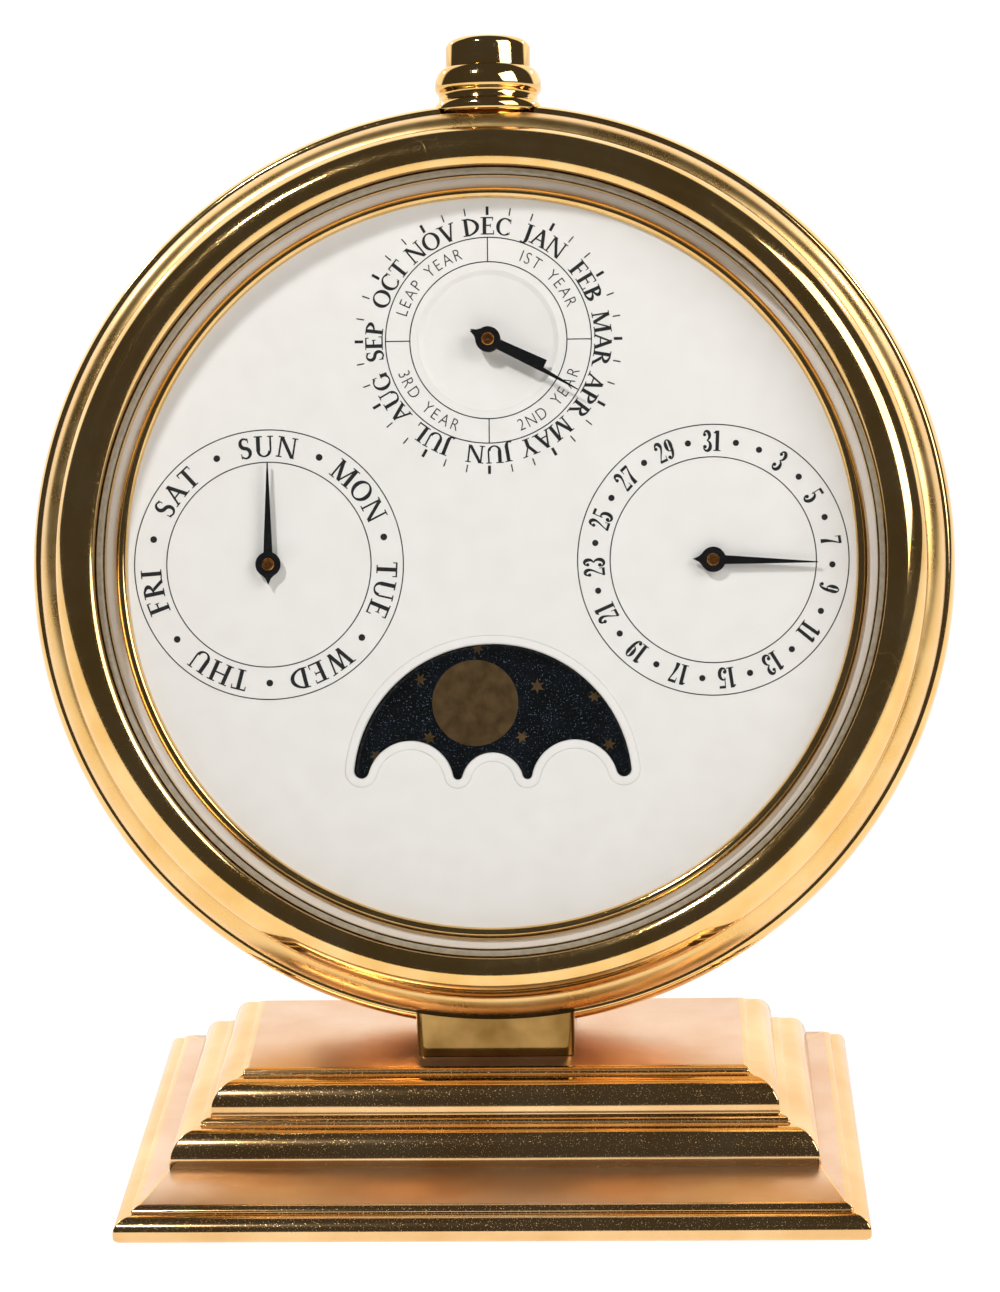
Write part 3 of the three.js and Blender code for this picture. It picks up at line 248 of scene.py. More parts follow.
def plain_finish(name, light, deep, size_mm, relief_mm, roughness, metallic=0.0, stretch=(1, 1, 1)):
    """A finish with one noise for its colour, its roughness and its relief."""
    material, tree, shader = finish(name, Roughness=roughness, Metallic=metallic)
    noise = grain(tree, size_mm, stretch=stretch, detail=3)
    rough = spread(tree, noise, roughness * (1 - UNEVEN), min(1.0, roughness * (1 + UNEVEN)))
    colour = ramp(tree, noise, CLOUD_LOW, CLOUD_HIGH, deep, light)
    dress(tree, shader, colour, rough, noise, PLAIN_RELIEF, relief_mm)
    return material


dial_lacquer = plain_finish("matt_white_lacquer", "#F0EEEA", "#ECEAE5", 2.5, 0.002, 0.55)
ink_black = plain_finish("printed_ink", "#1B1A1D", "#0E0D10", 0.3, 0.002, 0.45)
blackened = plain_finish("blackened_steel", "#1D1C20", "#0C0B0F", 0.25, 0.004, 0.32, 0.5, (6, 1, 1))
gasket_grey = plain_finish("soft_gasket", "#A79F90", "#8F8878", 0.8, 0.01, 0.6)
movement_brass = plain_finish("milled_brass", "#CDA85C", "#B48E45", 0.6, 0.004, 0.32, 1.0, (8, 1, 1))
bright_steel = plain_finish("ground_steel", "#C3C5C9", "#A4A7AC", 0.4, 0.004, 0.3, 1.0, (10, 1, 1))
boss_brass = plain_finish("turned_brass", "#D8A257", "#A9722F", 0.4, 0.003, 0.22, 1.0)
wool_felt = plain_finish("wool_felt", "#26352A", "#18231B", 0.35, 0.08, 0.95)
print("finishes so far:", len(bpy.data.materials))

# %% [markdown]
# The moon plate is night-blue enamel over polished metal, glossy, with the fine pale specks of old enamel
# and dust. The moons and stars are thin gold inlays that were brushed in one direction and have dulled.

# %% Enamel and dull gold
SPECK_MM, SPECK_SHARE, ENAMEL_CLOUD_MM = 0.16, 0.35, 3.0
RIPPLE_MM, RIPPLE, RIPPLE_DEPTH_MM = 0.5, 0.2, 0.01


def enamel_finish():
    material, tree, shader = finish("night_enamel", Roughness=0.16, IOR=1.5)
    specks = ramp(tree, grain(tree, SPECK_MM, detail=1), 0.66, 0.72, "#000000", "#8FA0B4")
    clouds = ramp(tree, grain(tree, ENAMEL_CLOUD_MM, detail=4), 0.4, 0.75, "#030508", "#0D131C")
    added = {"data_type": "RGBA", "blend_type": "ADD"}
    mixed = node(tree, "ShaderNodeMix", added, _0=SPECK_SHARE, _6=clouds, _7=specks).outputs[2]
    dress(tree, shader, mixed, None, grain(tree, RIPPLE_MM), RIPPLE, RIPPLE_DEPTH_MM)
    return material


night_enamel = enamel_finish()
dull_gold = plain_finish("dull_gold_inlay", "#7B6140", "#65502F", 1.2, 0.002, 0.42, 0.9, (1, 9, 1))
print("moon finishes:", night_enamel.name, dull_gold.name)

# %% [markdown]
# The crystal is flat mineral glass. Its body is given an alpha so that light reaches the dial through it.

# %% Glass
clear_glass = plain_finish("mineral_glass", "#3C4240", "#343A38", 5.0, 0.0005, 0.03)
glass_shader = clear_glass.node_tree.nodes["Principled BSDF"]
glass_shader.inputs["Alpha"].default_value, glass_shader.inputs["IOR"].default_value = 0.03, 1.52
print("glass:", clear_glass.name)

# %% [markdown]
# Round pieces are turned, as on a lathe. The profile is a chain of points, [radius, height], and a Geometry
# Nodes tree spins it: a grid has one column for each step of the turn and one row for each point of the
# profile, and every point of the grid takes its radius and height from the profile's mesh.

# %% The turning tree
def tree_with(name, **inputs):
    """A Geometry Nodes tree, its named inputs, and a function that closes it with its last geometry."""
    tree = bpy.data.node_groups.new(name, "GeometryNodeTree")
    kinds = {bool: "Bool", int: "Int", float: "Float", type(None): "Object"}
    rows = [(label.replace("_", " "), kinds[type(default)], default) for label, default in inputs.items()]
    for label, kind, default in [("Geometry", "Geometry", None)] + rows + [("Finish", "Material", None)]:
        socket = tree.interface.new_socket(label, in_out="INPUT", socket_type="NodeSocket" + kind)
        if default is not None:
            socket.default_value = default
    tree.interface.new_socket("Geometry", in_out="OUTPUT", socket_type="NodeSocketGeometry")
    given, out = tree.nodes.new("NodeGroupInput").outputs, tree.nodes.new("NodeGroupOutput")

    def close(geometry):
        real = node(tree, "GeometryNodeRealizeInstances", Geometry=geometry).outputs[0]
        dressed = node(tree, "GeometryNodeSetMaterial", Geometry=real, Material=given["Finish"]).outputs[0]
        tree.links.new(dressed, out.inputs[0])
        return tree

    return tree, given, close


def turning_tree():
    tree, given, close = tree_with("Turning", Steps=96)
    profile, steps = given["Geometry"], given["Steps"]
    rows = node(tree, "GeometryNodeAttributeDomainSize", Geometry=profile).outputs["Point Count"]
    columns = maths(tree, "ADD", steps, 1.0)
    grid = node(tree, "GeometryNodeMeshGrid", Vertices_X=columns, Vertices_Y=rows).outputs["Mesh"]
    index = node(tree, "GeometryNodeInputIndex").outputs[0]
    row = maths(tree, "MODULO", index, rows)
    column = maths(tree, "FLOOR", maths(tree, "DIVIDE", index, rows))
    part = maths(tree, "DIVIDE", maths(tree, "MODULO", column, steps), steps)
    angle = maths(tree, "MULTIPLY", part, 2 * math.pi)
    here = node(tree, "GeometryNodeInputPosition").outputs[0]
    of_vectors, about_z = {"data_type": "FLOAT_VECTOR"}, {"rotation_type": "Z_AXIS"}
    sampled = node(tree, "GeometryNodeSampleIndex", of_vectors, Geometry=profile, Value=here, Index=row)
    turn = node(tree, "ShaderNodeVectorRotate", about_z, Vector=sampled.outputs[0], Angle=angle).outputs[0]
    placed = node(tree, "GeometryNodeSetPosition", Geometry=grid, Position=turn).outputs[0]
    return close(node(tree, "GeometryNodeMergeByDistance", Geometry=placed, Distance=1e-7).outputs[0])


TURNING = turning_tree()
print("turning tree:", len(TURNING.nodes), "nodes")

# %% [markdown]
# A tree's inputs are set by the identifier of the socket. The result is taken as a plain mesh. Its doubles
# are merged, its faces turned outwards, and edges sharper than 32 degrees stay crisp.

# %% From a tree to a plain piece
def linked(data, name="made"):
    """An object that shows the data, put into the scene."""
    made = bpy.data.objects.new(name, data)
    bpy.context.scene.collection.objects.link(made)
    return made


def mesh_of(points, faces=(), edges=()):
    mesh = bpy.data.meshes.new("made")
    mesh.from_pydata([tuple(p) for p in points], edges, faces)
    return mesh


def baked(data, tree=None, **inputs):
    """Runs a tree on a mesh or a curve and returns the result as a plain mesh."""
    source = linked(data)
    if tree is not None:
        modifier = source.modifiers.new("build", "NODES")
        modifier.node_group = tree
        sockets = {s.name: s.identifier for s in tree.interface.items_tree if s.in_out == "INPUT"}
        for label, value in inputs.items():
            modifier[sockets[label.replace("_", " ")]] = value
    return taken(source)


def taken(source):
    """What an object shows, as a plain mesh; the object itself goes."""
    evaluated = source.evaluated_get(bpy.context.evaluated_depsgraph_get())
    mesh = bpy.data.meshes.new_from_object(evaluated)
    bpy.data.objects.remove(source)
    return mesh


MERGE_MM = 0.0001
CRISP = math.radians(32)
LEVEL = 0.99


def tidy(mesh, flat_caps=False):
    work = bmesh.new()
    work.from_mesh(mesh)
    bmesh.ops.remove_doubles(work, verts=work.verts, dist=MERGE_MM)
    bmesh.ops.dissolve_degenerate(work, edges=work.edges, dist=MERGE_MM)
    bmesh.ops.delete(work, geom=[edge for edge in work.edges if not edge.link_faces], context="EDGES")
    bmesh.ops.recalc_face_normals(work, faces=work.faces)
    work.to_mesh(mesh)
    work.free()
    mesh.polygons.foreach_set("use_smooth", [True] * len(mesh.polygons))
    mesh.set_sharp_from_angle(angle=CRISP)
    for face in mesh.polygons:
        face.use_smooth = not (flat_caps and abs(face.normal.z) > LEVEL)
    return mesh


def piece(name, mesh, slot, material, *stands_for, axes=CASE, body="case"):
    """Puts a mesh in the room as a finished piece that rides on a body."""
    mesh.transform(axes)
    mesh.materials.clear()
    mesh.materials.append(material)
    mesh.name = name
    made = linked(mesh, name)
    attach(made, body)
    if stands_for:
        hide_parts(*stands_for)
    return made


def spun(profile, steps, material):
    """The mesh of a turned piece, from its profile in millimetres."""
    chain = mesh_of([(r, 0, z) for r, z in profile], edges=[(i, i + 1) for i in range(len(profile) - 1)])
    return tidy(baked(chain, TURNING, Steps=steps, Finish=material))


def turned(name, profile, steps, slot, material, *stands_for, **where):
    return piece(name, spun(profile, steps, material), slot, material, *stands_for, **where)


def at(axis):
    """The move to an axis of the dial, or by as much within one mark."""
    return Matrix.Translation((*axis, 0))


print("piece helpers ready")

# %% [markdown]
# Real edges are never knife sharp. This helper rounds each corner of a profile with a small arc, which is
# what catches the thin bright line along an edge.

# %% Rounded corners
LEAST_BEND, LEAST_REACH_MM, MOST_SHARE = 25, 0.0001, 0.45
BEND_SHARES = (0, 0.33, 0.67, 1)


def arc(cx, cy, rx, ry, start, end, steps):
    """Points on an ellipse from one angle to another, in degrees."""
    angles = [math.radians(start + (end - start) * i / steps) for i in range(steps + 1)]
    return [(cx + rx * math.cos(a), cy + ry * math.sin(a)) for a in angles]


def rounded(points, radius):
    """The same chain with its sharper corners rounded off, except at its ends and on the axis."""
    out = [tuple(points[0])]
    for i, point in enumerate(points[1:-1], 1):
        here = Vector(point)
        back, ahead = Vector(points[i - 1]) - here, Vector(points[i + 1]) - here
        reach = min(radius, back.length * MOST_SHARE, ahead.length * MOST_SHARE)
        on_axis = point[0] < MERGE_MM
        if on_axis or reach < LEAST_REACH_MM or 180 - math.degrees(back.angle(ahead)) < LEAST_BEND:
            out.append(tuple(point))
            continue
        first, last = here + back.normalized() * reach, here + ahead.normalized() * reach
        for share in BEND_SHARES:
            out.append(tuple(first * (1 - share) ** 2 + here * 2 * share * (1 - share) + last * share**2))
    return out + [tuple(points[-1])]


print("corner test:", len(rounded([(1, 0), (2, 0), (2, 1)], 0.1)), "points")

# %% [markdown]
# The plinth is one block with a moulding on all four sides, mitred at the corners: a slab with a bullnose,
# a ledge, and two steps that each rise through an ovolo, a small cove and a bead. Every point of the
# moulding is [inset, height], and each becomes one rectangle with slightly eased corners. Skins between
# rectangles make the block.

# %% Plinth
SLAB_WIDTH, SLAB_DEPTH = 81.9, 53.4
TIER_FRONT, TIER_BACK, TIER_SIDE = 9.3, 2.2, 2.2
CORNER_EASE, EDGE_EASE = 0.22, 0.12
FACES_UP, LEAST_FLAT_AREA = 0.98, 0.00004


def moulding(start, *runs):
    """A chain of points from runs of steps; each run's steps start from the last point before it."""
    points = [start]
    for steps in runs:
        x, y = points[-1]
        points += [(x + dx, y + dy) for dx, dy in steps]
    return points


def convex(rise, inset):
    return arc(inset, 0, -inset, rise, 0, 90, 10)[1:]


def concave(rise, inset):
    return arc(0, rise, inset, -rise, 90, 0, 6)[1:]


def bead(rise, inset, swell=0.16, steps=6):
    """A small half-round that stands out a little before it goes in."""
    shares = [step / steps for step in range(1, steps + 1)]
    return [(inset * share**2 - swell * math.sin(math.pi * share), rise * share) for share in shares]


slab_moulding = moulding(
    (3.2, 0.3), [(-2.5, 0)], [(-0.35, 0.18), (-0.6, 0.42), (-0.7, 0.7)], [(0, 0.6)], convex(1.5, 1.9),
    bead(0.8, 0.75),
)
ledge_inset, ledge_height = slab_moulding[-1]
tier_moulding = moulding(
    (0, ledge_height), [(0, 0.25)], convex(3.4, 2.6), concave(0.2, 0.75), bead(0.55, 0.54),
    [(0.43, 0.02), (0.43, 0.2)], [(0, 0.2)], convex(3.0, 2.6), concave(0.43, 0.86), bead(0.38, 0.48),
)
TIER_INSET, PLINTH_TOP = tier_moulding[-1]


def eased_rectangle(left, right, front, back, height, ease=CORNER_EASE, steps=3):
    spots = [(right - ease, back - ease, 0), (left + ease, back - ease, 90),
             (left + ease, front + ease, 180), (right - ease, front + ease, 270)]
    return [(x, y, height) for cx, cy, a in spots for x, y in arc(cx, cy, ease, ease, a, a + 90, steps)]


def plinth_rings():
    x, y = SLAB_WIDTH / 2, SLAB_DEPTH / 2
    rings = [eased_rectangle(inset - x, x - inset, inset - y, y - inset, height)
             for inset, height in [(3.2, 1.2)] + rounded(slab_moulding, EDGE_EASE)]
    for inset, height in rounded(tier_moulding, EDGE_EASE):
        side, near, far = (ledge_inset + inset + v for v in (TIER_SIDE, TIER_FRONT, TIER_BACK))
        rings.append(eased_rectangle(side - x, x - side, near - y, y - far, height))
    return rings


def skinned(rings, closed=False):
    """A block from rings of points: capped at its ends, or closed from the last ring to the first."""
    size, count = len(rings[0]), len(rings)
    faces = [] if closed else [tuple(range(size))[::-1], tuple(range((count - 1) * size, count * size))]
    for k in range(count if closed else count - 1):
        here, above = k * size, (k + 1) % count * size
        faces += [(here + i, here + (i + 1) % size, above + (i + 1) % size, above + i) for i in range(size)]
    return tidy(mesh_of([p for ring in rings for p in ring], faces))


plinth = piece("plinth_block", skinned(plinth_rings()), "gilt", plinth_gilt, "plinth", axes=ROOM)
plinth.data.materials.append(flat_gilt)
for face in plinth.data.polygons:
    if face.normal.z > FACES_UP and face.area > LEAST_FLAT_AREA:
        face.material_index = 1
print("plinth:", len(plinth.data.polygons), "faces, top at", round(PLINTH_TOP, 2), "mm")

# %% [markdown]
# The bezel is a turned ring with two rolls. The main roll is part of an upright oval, and a narrower
# quarter-round falls away outside it behind a fine groove. Its inner lip holds the glass. A round notch at
# the top seats the crown. The outer roll was left satin under its plating, so it takes the duller finish
# from the groove outwards.

# %% Bezel
RING_STEPS, RING_EASE = 288, 0.08
BEZEL_PROFILE = (
    [(43.3, 0.3), (43.3, 1.9), (44.2, 1.9)]
    + arc(45.7, 1.9, 3.15, 3.5, 118.4, 0, 40)
    + arc(48.5, -2.52, 2.68, 4.3, 82, 7, 22)
    + [(47.8, -2.0), (47.8, 0.3), (43.3, 0.3)]
)
GROOVE_RADIUS, SATIN_BACK = 48.88, -1.6
CROWN_DEPTH = 6.0
CROWN_AXES = Matrix.Translation((0, 0, -CROWN_DEPTH)) @ Matrix.Rotation(-math.pi / 2, 4, "X")
POCKET_PROFILE = [(0, 46.7), (4.9, 46.7), (4.9, 49.8), (6.45, 49.8), (6.45, 57), (0, 57)]


def cut_away(mesh, tool):
    """Subtracts a second mesh, which is used up."""
    whole, cutter = linked(mesh), linked(tool)
    modifier = whole.modifiers.new("cut", "BOOLEAN")
    modifier.operation, modifier.solver, modifier.object = "DIFFERENCE", "EXACT", cutter
    result = taken(whole)
    bpy.data.objects.remove(cutter)
    return tidy(result)


def pocketed_ring(profile):
    """A turned ring of the case with the crown's pocket cut into its top."""
    pocket = spun(POCKET_PROFILE, 96, polished_gilt)
    pocket.transform(CROWN_AXES)
    return cut_away(spun(rounded(profile, RING_EASE), RING_STEPS, polished_gilt), pocket)


bezel = piece("bezel_rolls", pocketed_ring(BEZEL_PROFILE), "gilt", polished_gilt, "bezel")
bezel.data.materials.append(satin_gilt)
to_case = CASE.inverted()
for face in bezel.data.polygons:
    spot = to_case @ face.center
    if spot.xy.length > GROOVE_RADIUS and spot.z > SATIN_BACK:
        face.material_index = 1
print("bezel:", len(bezel.data.polygons), "faces")

# %% [markdown]
# Behind the bezel lies the case's middle: a deep band whose front edge is rounded into a third roll, and
# whose back is rounded off. A dark seam shows between it and the bezel.

# %% Case band
BAND_PROFILE = (
    [(43.4, -3.5), (44.6, -3.5), (44.6, -0.3), (47.5, -0.3), (47.5, -2.3), (51.45, -2.3)]
    + arc(51.45, -5.6, 1.05, 3.3, 90, 0, 18)[1:]
    + arc(49.5, -10.5, 3.0, 3.8, 0, -90, 16)
    + [(45.9, -14.3), (45.9, -13.6), (43.4, -13.6), (43.4, -3.5)]
)
band = piece("case_ring", pocketed_ring(BAND_PROFILE), "gilt", polished_gilt, "case_band")
print("band:", len(band.data.polygons), "faces")

# %% [markdown]
# The crown at the top is a fixed collar of two rolls with the push button inside it. The collar stands on a
# flared seat that laps over the bezel's outer roll. The button is a plain drum with a softly rounded top.

# %% Crown
CROWN_STEPS = 128
COLLAR_PROFILE = (
    [(1.1, 47.0), (4.6, 47.0), (4.6, 49.95), (6.15, 49.95), (6.2, 50.1), (6.0, 50.35), (5.75, 50.5)]
    + arc(4.6, 51.75, 1.65, 1.35, -55, 46, 14)
    + [(5.65, 53.1), (5.62, 53.3), (5.66, 53.5)]
    + arc(5.13, 54.4, 0.97, 0.95, -52, 0, 6)
    + arc(5.13, 54.4, 0.97, 2.1, 0, 88, 12)[1:]
    + [(5.13, 53.3), (3.0, 53.3), (3.0, 47.8), (1.1, 47.8), (1.1, 47.0)]
)
collar = turned("crown_collar", COLLAR_PROFILE, CROWN_STEPS, "gilt", crown_gilt, "pendant",
                axes=CASE @ CROWN_AXES)
BUTTON_PROFILE = (
    [(0.95, 52.9), (2.6, 52.9), (2.6, 56.1), (4.83, 56.1)]
    + arc(3.35, 58.95, 1.48, 1.05, 0, 76, 10)
    + [(3.2, 60.12), (1.6, 60.26), (0, 60.3), (0, 59.4), (0.95, 59.4), (0.95, 52.9)]
)
button = turned("crown_button", rounded(BUTTON_PROFILE, 0.1), CROWN_STEPS, "gilt", crown_gilt, "push_button",
                axes=CASE @ CROWN_AXES, body="button")
print("crown:", len(collar.data.polygons), "+", len(button.data.polygons), "faces")

# %% [markdown]
# Inside the collar a coiled spring lifts the button. A tree draws it: a spiral of a given number of turns,
# swept by a round wire with closed ends.

# %% Return spring
SPRING_FOOT, SPRING_KEEP = 48.15, 0.45
COIL = {"Turns": 3.5, "Rise": 4.4, "Radius": 1.9, "Wire": 0.25}


def spring_tree():
    tree, given, close = tree_with("Coil spring", **COIL)
    spiral = node(tree, "GeometryNodeCurveSpiral", Resolution=28, Rotations=given["Turns"],
                  Height=given["Rise"], Start_Radius=given["Radius"], End_Radius=given["Radius"]).outputs[0]
    wire = node(tree, "GeometryNodeCurvePrimitiveCircle", Resolution=14, Radius=given["Wire"]).outputs[0]
    swept = node(tree, "GeometryNodeCurveToMesh", Curve=spiral, Profile_Curve=wire, Fill_Caps=True)
    return close(swept.outputs[0])


coil = baked(mesh_of([(0, 0, 0)]), spring_tree(), Finish=bright_steel, **COIL)
coil.transform(Matrix.Translation((0, 0, SPRING_FOOT)))
spring = piece("return_coil", tidy(coil), "steel", bright_steel, "return_spring", axes=CASE @ CROWN_AXES)
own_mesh(spring)
print("spring:", len(spring.data.polygons), "faces")

# %% [markdown]
# A short square neck carries the case on the plinth. Its upright edges are rounded, and its top is hollowed
# to the round of the case, so the block is cut with a turned tool a hair larger than the band and the
# bezel.

# %% Neck
NECK_WIDTH, NECK_DEPTH, NECK_EASE = 17.9, 13.0, 1.1
NECK_SETBACK = 2.6
NECK_FRONT = -SLAB_DEPTH / 2 + ledge_inset + TIER_FRONT + TIER_INSET + NECK_SETBACK
TOOL_PROFILE = (
    [(0, -14.4), (49.6, -14.4)]
    + arc(49.6, -10.5, 3.0, 3.9, -90, 0, 12)
    + [(52.6, -5.6)]
    + arc(51.55, -5.6, 1.05, 3.2, 0, 75, 8)
    + [(51.4, -2.2), (51.4, 8), (0, 8)]
)


def neck_rings():
    """Three rectangles one above the other, the lowest a little smaller."""
    side, back = NECK_WIDTH / 2, NECK_FRONT + NECK_DEPTH
    return [eased_rectangle(inset - side, side - inset, NECK_FRONT + inset, back - inset, PLINTH_TOP + height,
                            NECK_EASE - inset, 8)
            for height, inset in ((0.03, 0.12), (0.15, 0), (6, 0))]


case_tool = spun(TOOL_PROFILE, 192, polished_gilt)
case_tool.transform(ROOM.inverted() @ CASE)
neck_mesh = cut_away(skinned(neck_rings()), case_tool)
neck = piece("neck_block", neck_mesh, "gilt", neck_gilt_painted_dark, "neck_saddle", axes=ROOM)
print("neck:", len(neck.data.polygons), "faces, front at y", round(NECK_FRONT, 2), "mm")

# %% [markdown]
# The glass lies in the bezel's recess, packed by a soft ring that shows as a grey line round it.

# %% Glass and gasket
GLASS_STEPS = 192
glass_outline = rounded([(0, 2.05), (43.35, 2.05), (43.35, 3.25), (0, 3.25)], 0.15)
glass = turned("flat_crystal", glass_outline, GLASS_STEPS, "crystal", clear_glass, "crystal")
gasket_outline = rounded([(43.5, 2.05), (44.05, 2.05), (44.05, 3.35), (43.5, 3.35), (43.5, 2.05)], 0.1)
gasket = turned("glass_gasket", gasket_outline, GLASS_STEPS, "gasket", gasket_grey, "crystal_gasket")
print("glass:", len(glass.data.polygons), "gasket:", len(gasket.data.polygons), "faces")

# %% [markdown]
# The moon window is a crescent: a large arc above, two side lobes and a small middle lobe below, and round
# tips between them. A circle that touches both neighbours rounds each tip, and its centre comes from two
# distances.

# %% The moon window's outline
MOON_AXIS = (0, -24.9)
WINDOW_ARC, SIDE_LOBE, SIDE_OFFSET, MIDDLE_LOBE = 15.7, 4.88, 9.25, 3.5
OUTER_TIP, INNER_TIP = 0.85, 0.55


def touching(far, near_x, near):
    """The point at distance far from the axis and near from (near_x, 0), above the line between them."""
    x = (far**2 - near**2 + near_x**2) / (2 * near_x)
    return x, math.sqrt(far**2 - x**2)


def window_outline(grow=0.0):
    """Half of the outline from the top, then its mirror image; grow moves it outwards."""
    big, side, middle = WINDOW_ARC + grow, SIDE_LOBE - grow, MIDDLE_LOBE - grow
    tip, inner = OUTER_TIP + grow, INNER_TIP + grow
    ox, oy = touching(WINDOW_ARC - OUTER_TIP, -SIDE_OFFSET, SIDE_LOBE + OUTER_TIP)
    ix, iy = touching(MIDDLE_LOBE + INNER_TIP, -SIDE_OFFSET, SIDE_LOBE + INNER_TIP)
    out = math.degrees(math.atan2(oy, ox))
    to_side = math.degrees(math.atan2(oy, ox + SIDE_OFFSET))
    from_side = math.degrees(math.atan2(iy, ix + SIDE_OFFSET))
    to_middle = math.degrees(math.atan2(iy, ix))
    half = arc(0, 0, big, big, 90, out, 60)
    half += arc(ox, oy, tip, tip, out, to_side + 180, 16)[1:]
    half += arc(-SIDE_OFFSET, 0, side, side, to_side, from_side, 32)[1:]
    half += arc(ix, iy, inner, inner, from_side + 180, to_middle + 180, 12)[1:]
    half += arc(0, 0, middle, middle, to_middle, 90, 14)[1:]
    whole = half + [(-x, y) for x, y in half[-2:0:-1]]
    return [(x + MOON_AXIS[0], y + MOON_AXIS[1]) for x, y in whole]


print("window outline:", len(window_outline()), "points")

# %% [markdown]
# The dial is a flat plate with the window and the sunk centre of the month dial. A flat curve with several
# closed outlines fills between them, which leaves the holes open. It is thickened and taken as a mesh.

# %% Dial plate
DIAL_RADIUS, DIAL_THICKNESS = 43.9, 1.0
ARBOR_HOLE, WELL_RADIUS = 0.95, 8.05
MONTH_AXIS = (0, 25)
DAY_AXIS, DATE_AXIS = (-25, 0), (25, 0)
EMBOSSED = 1.0


def plate(outlines, low, high):
    """A flat plate between two heights, from closed outlines; an outline inside another is a hole."""
    curve = bpy.data.curves.new("outline", "CURVE")
    curve.dimensions, curve.fill_mode = "2D", "BOTH"
    curve.extrude = (high - low) / 2
    for outline in outlines:
        spline = curve.splines.new("POLY")
        spline.points.add(len(outline) - 1)
        spline.points.foreach_set("co", [v for x, y in outline for v in (x, y, 0, 1)])
        spline.use_cyclic_u = True
    mesh = baked(curve)
    mesh.transform(Matrix.Translation((0, 0, (low + high) / 2)))
    return tidy(mesh, flat_caps=True)


def circle(centre, radius, steps=128):
    return arc(centre[0], centre[1], radius, radius, 0, 360, steps)[:-1]


dial_outlines = [circle((0, 0), DIAL_RADIUS, 256), window_outline(EMBOSSED), circle(DAY_AXIS, ARBOR_HOLE, 24),
                 circle(DATE_AXIS, ARBOR_HOLE, 24), circle(MONTH_AXIS, WELL_RADIUS)]
dial_mesh = plate(dial_outlines, -DIAL_THICKNESS, 0)
dial = piece("dial_plate", dial_mesh, "dial_white", dial_lacquer, "dial")
print("dial:", len(dial.data.polygons), "faces")

# %% [markdown]
# Round the window the lacquered metal was pressed: a fine line runs a millimetre outside the opening, and
# the opening's own edge is rounded down. Skins between grown copies of the window's outline give this
# border.

# %% The window's border
border_steps = [(EMBOSSED, -0.9), (EMBOSSED, -0.1), (0.93, -0.01), (0.8, 0.03), (0.3, 0.03), (0.12, 0.0),
                (0.03, -0.1), (0.0, -0.25), (0.0, -0.9)]
border_rings = [[(x, y, height) for x, y in window_outline(grow)] for grow, height in border_steps]
border = piece("window_border", skinned(border_rings, closed=True), "dial_white", dial_lacquer)
well_profile = [(WELL_RADIUS, -0.9), (WELL_RADIUS, -0.02), (7.95, 0.01), (7.75, -0.06), (7.45, -0.3),
                (7.3, -0.35), (1.35, -0.35), (1.35, -0.9), (WELL_RADIUS, -0.9)]
well = turned("month_well", well_profile, 128, "dial_white", dial_lacquer, axes=CASE @ at(MONTH_AXIS))
edge_profile = [(41.05, 0.0)] + arc(41.7, 0.12, 0.65, 0.62, 180, 0, 12) + [(42.35, 0.0), (41.05, 0.0)]
edge_ring = turned("dial_edge_ring", edge_profile, 256, "gilt", polished_gilt, "dial_ring")
print("border, well and ring:", [len(made.data.polygons) for made in (border, well, edge_ring)])

# %% [markdown]
# Everything on the dial is printed in black. Ink stands a few hundredths of a millimetre proud. The rings
# are turned, and the marks round them repeat: a tree puts a copy of one mark on each point of a circle,
# turned to face the centre. A first and a last number and a step let it leave some places free for
# numerals.

# %% The tree for marks round a circle
INK_LOW, INK_HIGH = 0.0, 0.02


def marks_tree():
    tree, given, close = tree_with("Marks round a circle", Count=12, Radius=10.0, Turn=0.0, Every=1,
                                   Skip_first=False, Also=-1)
    ring = node(tree, "GeometryNodeMeshCircle", Vertices=given["Count"], Radius=given["Radius"]).outputs[0]
    index = node(tree, "GeometryNodeInputIndex").outputs[0]
    regular = maths(tree, "LESS_THAN", maths(tree, "MODULO", index, given["Every"]), 0.5)
    late = maths(tree, "GREATER_THAN", index, given["Skip first"])
    started = maths(tree, "MAXIMUM", late, maths(tree, "SUBTRACT", 1.0, given["Skip first"]))
    extra = maths(tree, "COMPARE", index, given["Also"], 0.1)
    chosen = maths(tree, "MAXIMUM", maths(tree, "MULTIPLY", regular, started), extra)
    angle = maths(tree, "MULTIPLY", maths(tree, "DIVIDE", index, given["Count"]), 2 * math.pi)
    turned_by = node(tree, "ShaderNodeCombineXYZ", Z=angle).outputs[0]
    copies = node(tree, "GeometryNodeInstanceOnPoints", Points=ring, Selection=chosen,
                  Instance=given["Geometry"], Rotation=turned_by).outputs[0]
    real = node(tree, "GeometryNodeRealizeInstances", Geometry=copies).outputs[0]
    whole_turn = node(tree, "ShaderNodeCombineXYZ", Z=given["Turn"]).outputs[0]
    return close(node(tree, "GeometryNodeTransform", Geometry=real, Rotation=whole_turn).outputs[0])


MARKS = marks_tree()


def marks_round(mark, axis, count, radius, turn_degrees=90, **choice):
    mesh = baked(mark, MARKS, Count=count, Radius=float(radius), Turn=math.radians(turn_degrees),
                 Finish=ink_black, **choice)
    mesh.transform(at(axis))
    return tidy(mesh)


def box_mesh(length, width):
    x, y = length / 2, width / 2
    return plate([[(-x, -y), (x, -y), (x, y), (-x, y)]], INK_LOW, INK_HIGH)


def joined(meshes):
    """Several meshes as one."""
    work = bmesh.new()
    for mesh in meshes:
        work.from_mesh(mesh)
    whole = bpy.data.meshes.new("joined")
    work.to_mesh(whole)
    work.free()
    return whole


print("marks tree:", len(MARKS.nodes), "nodes")

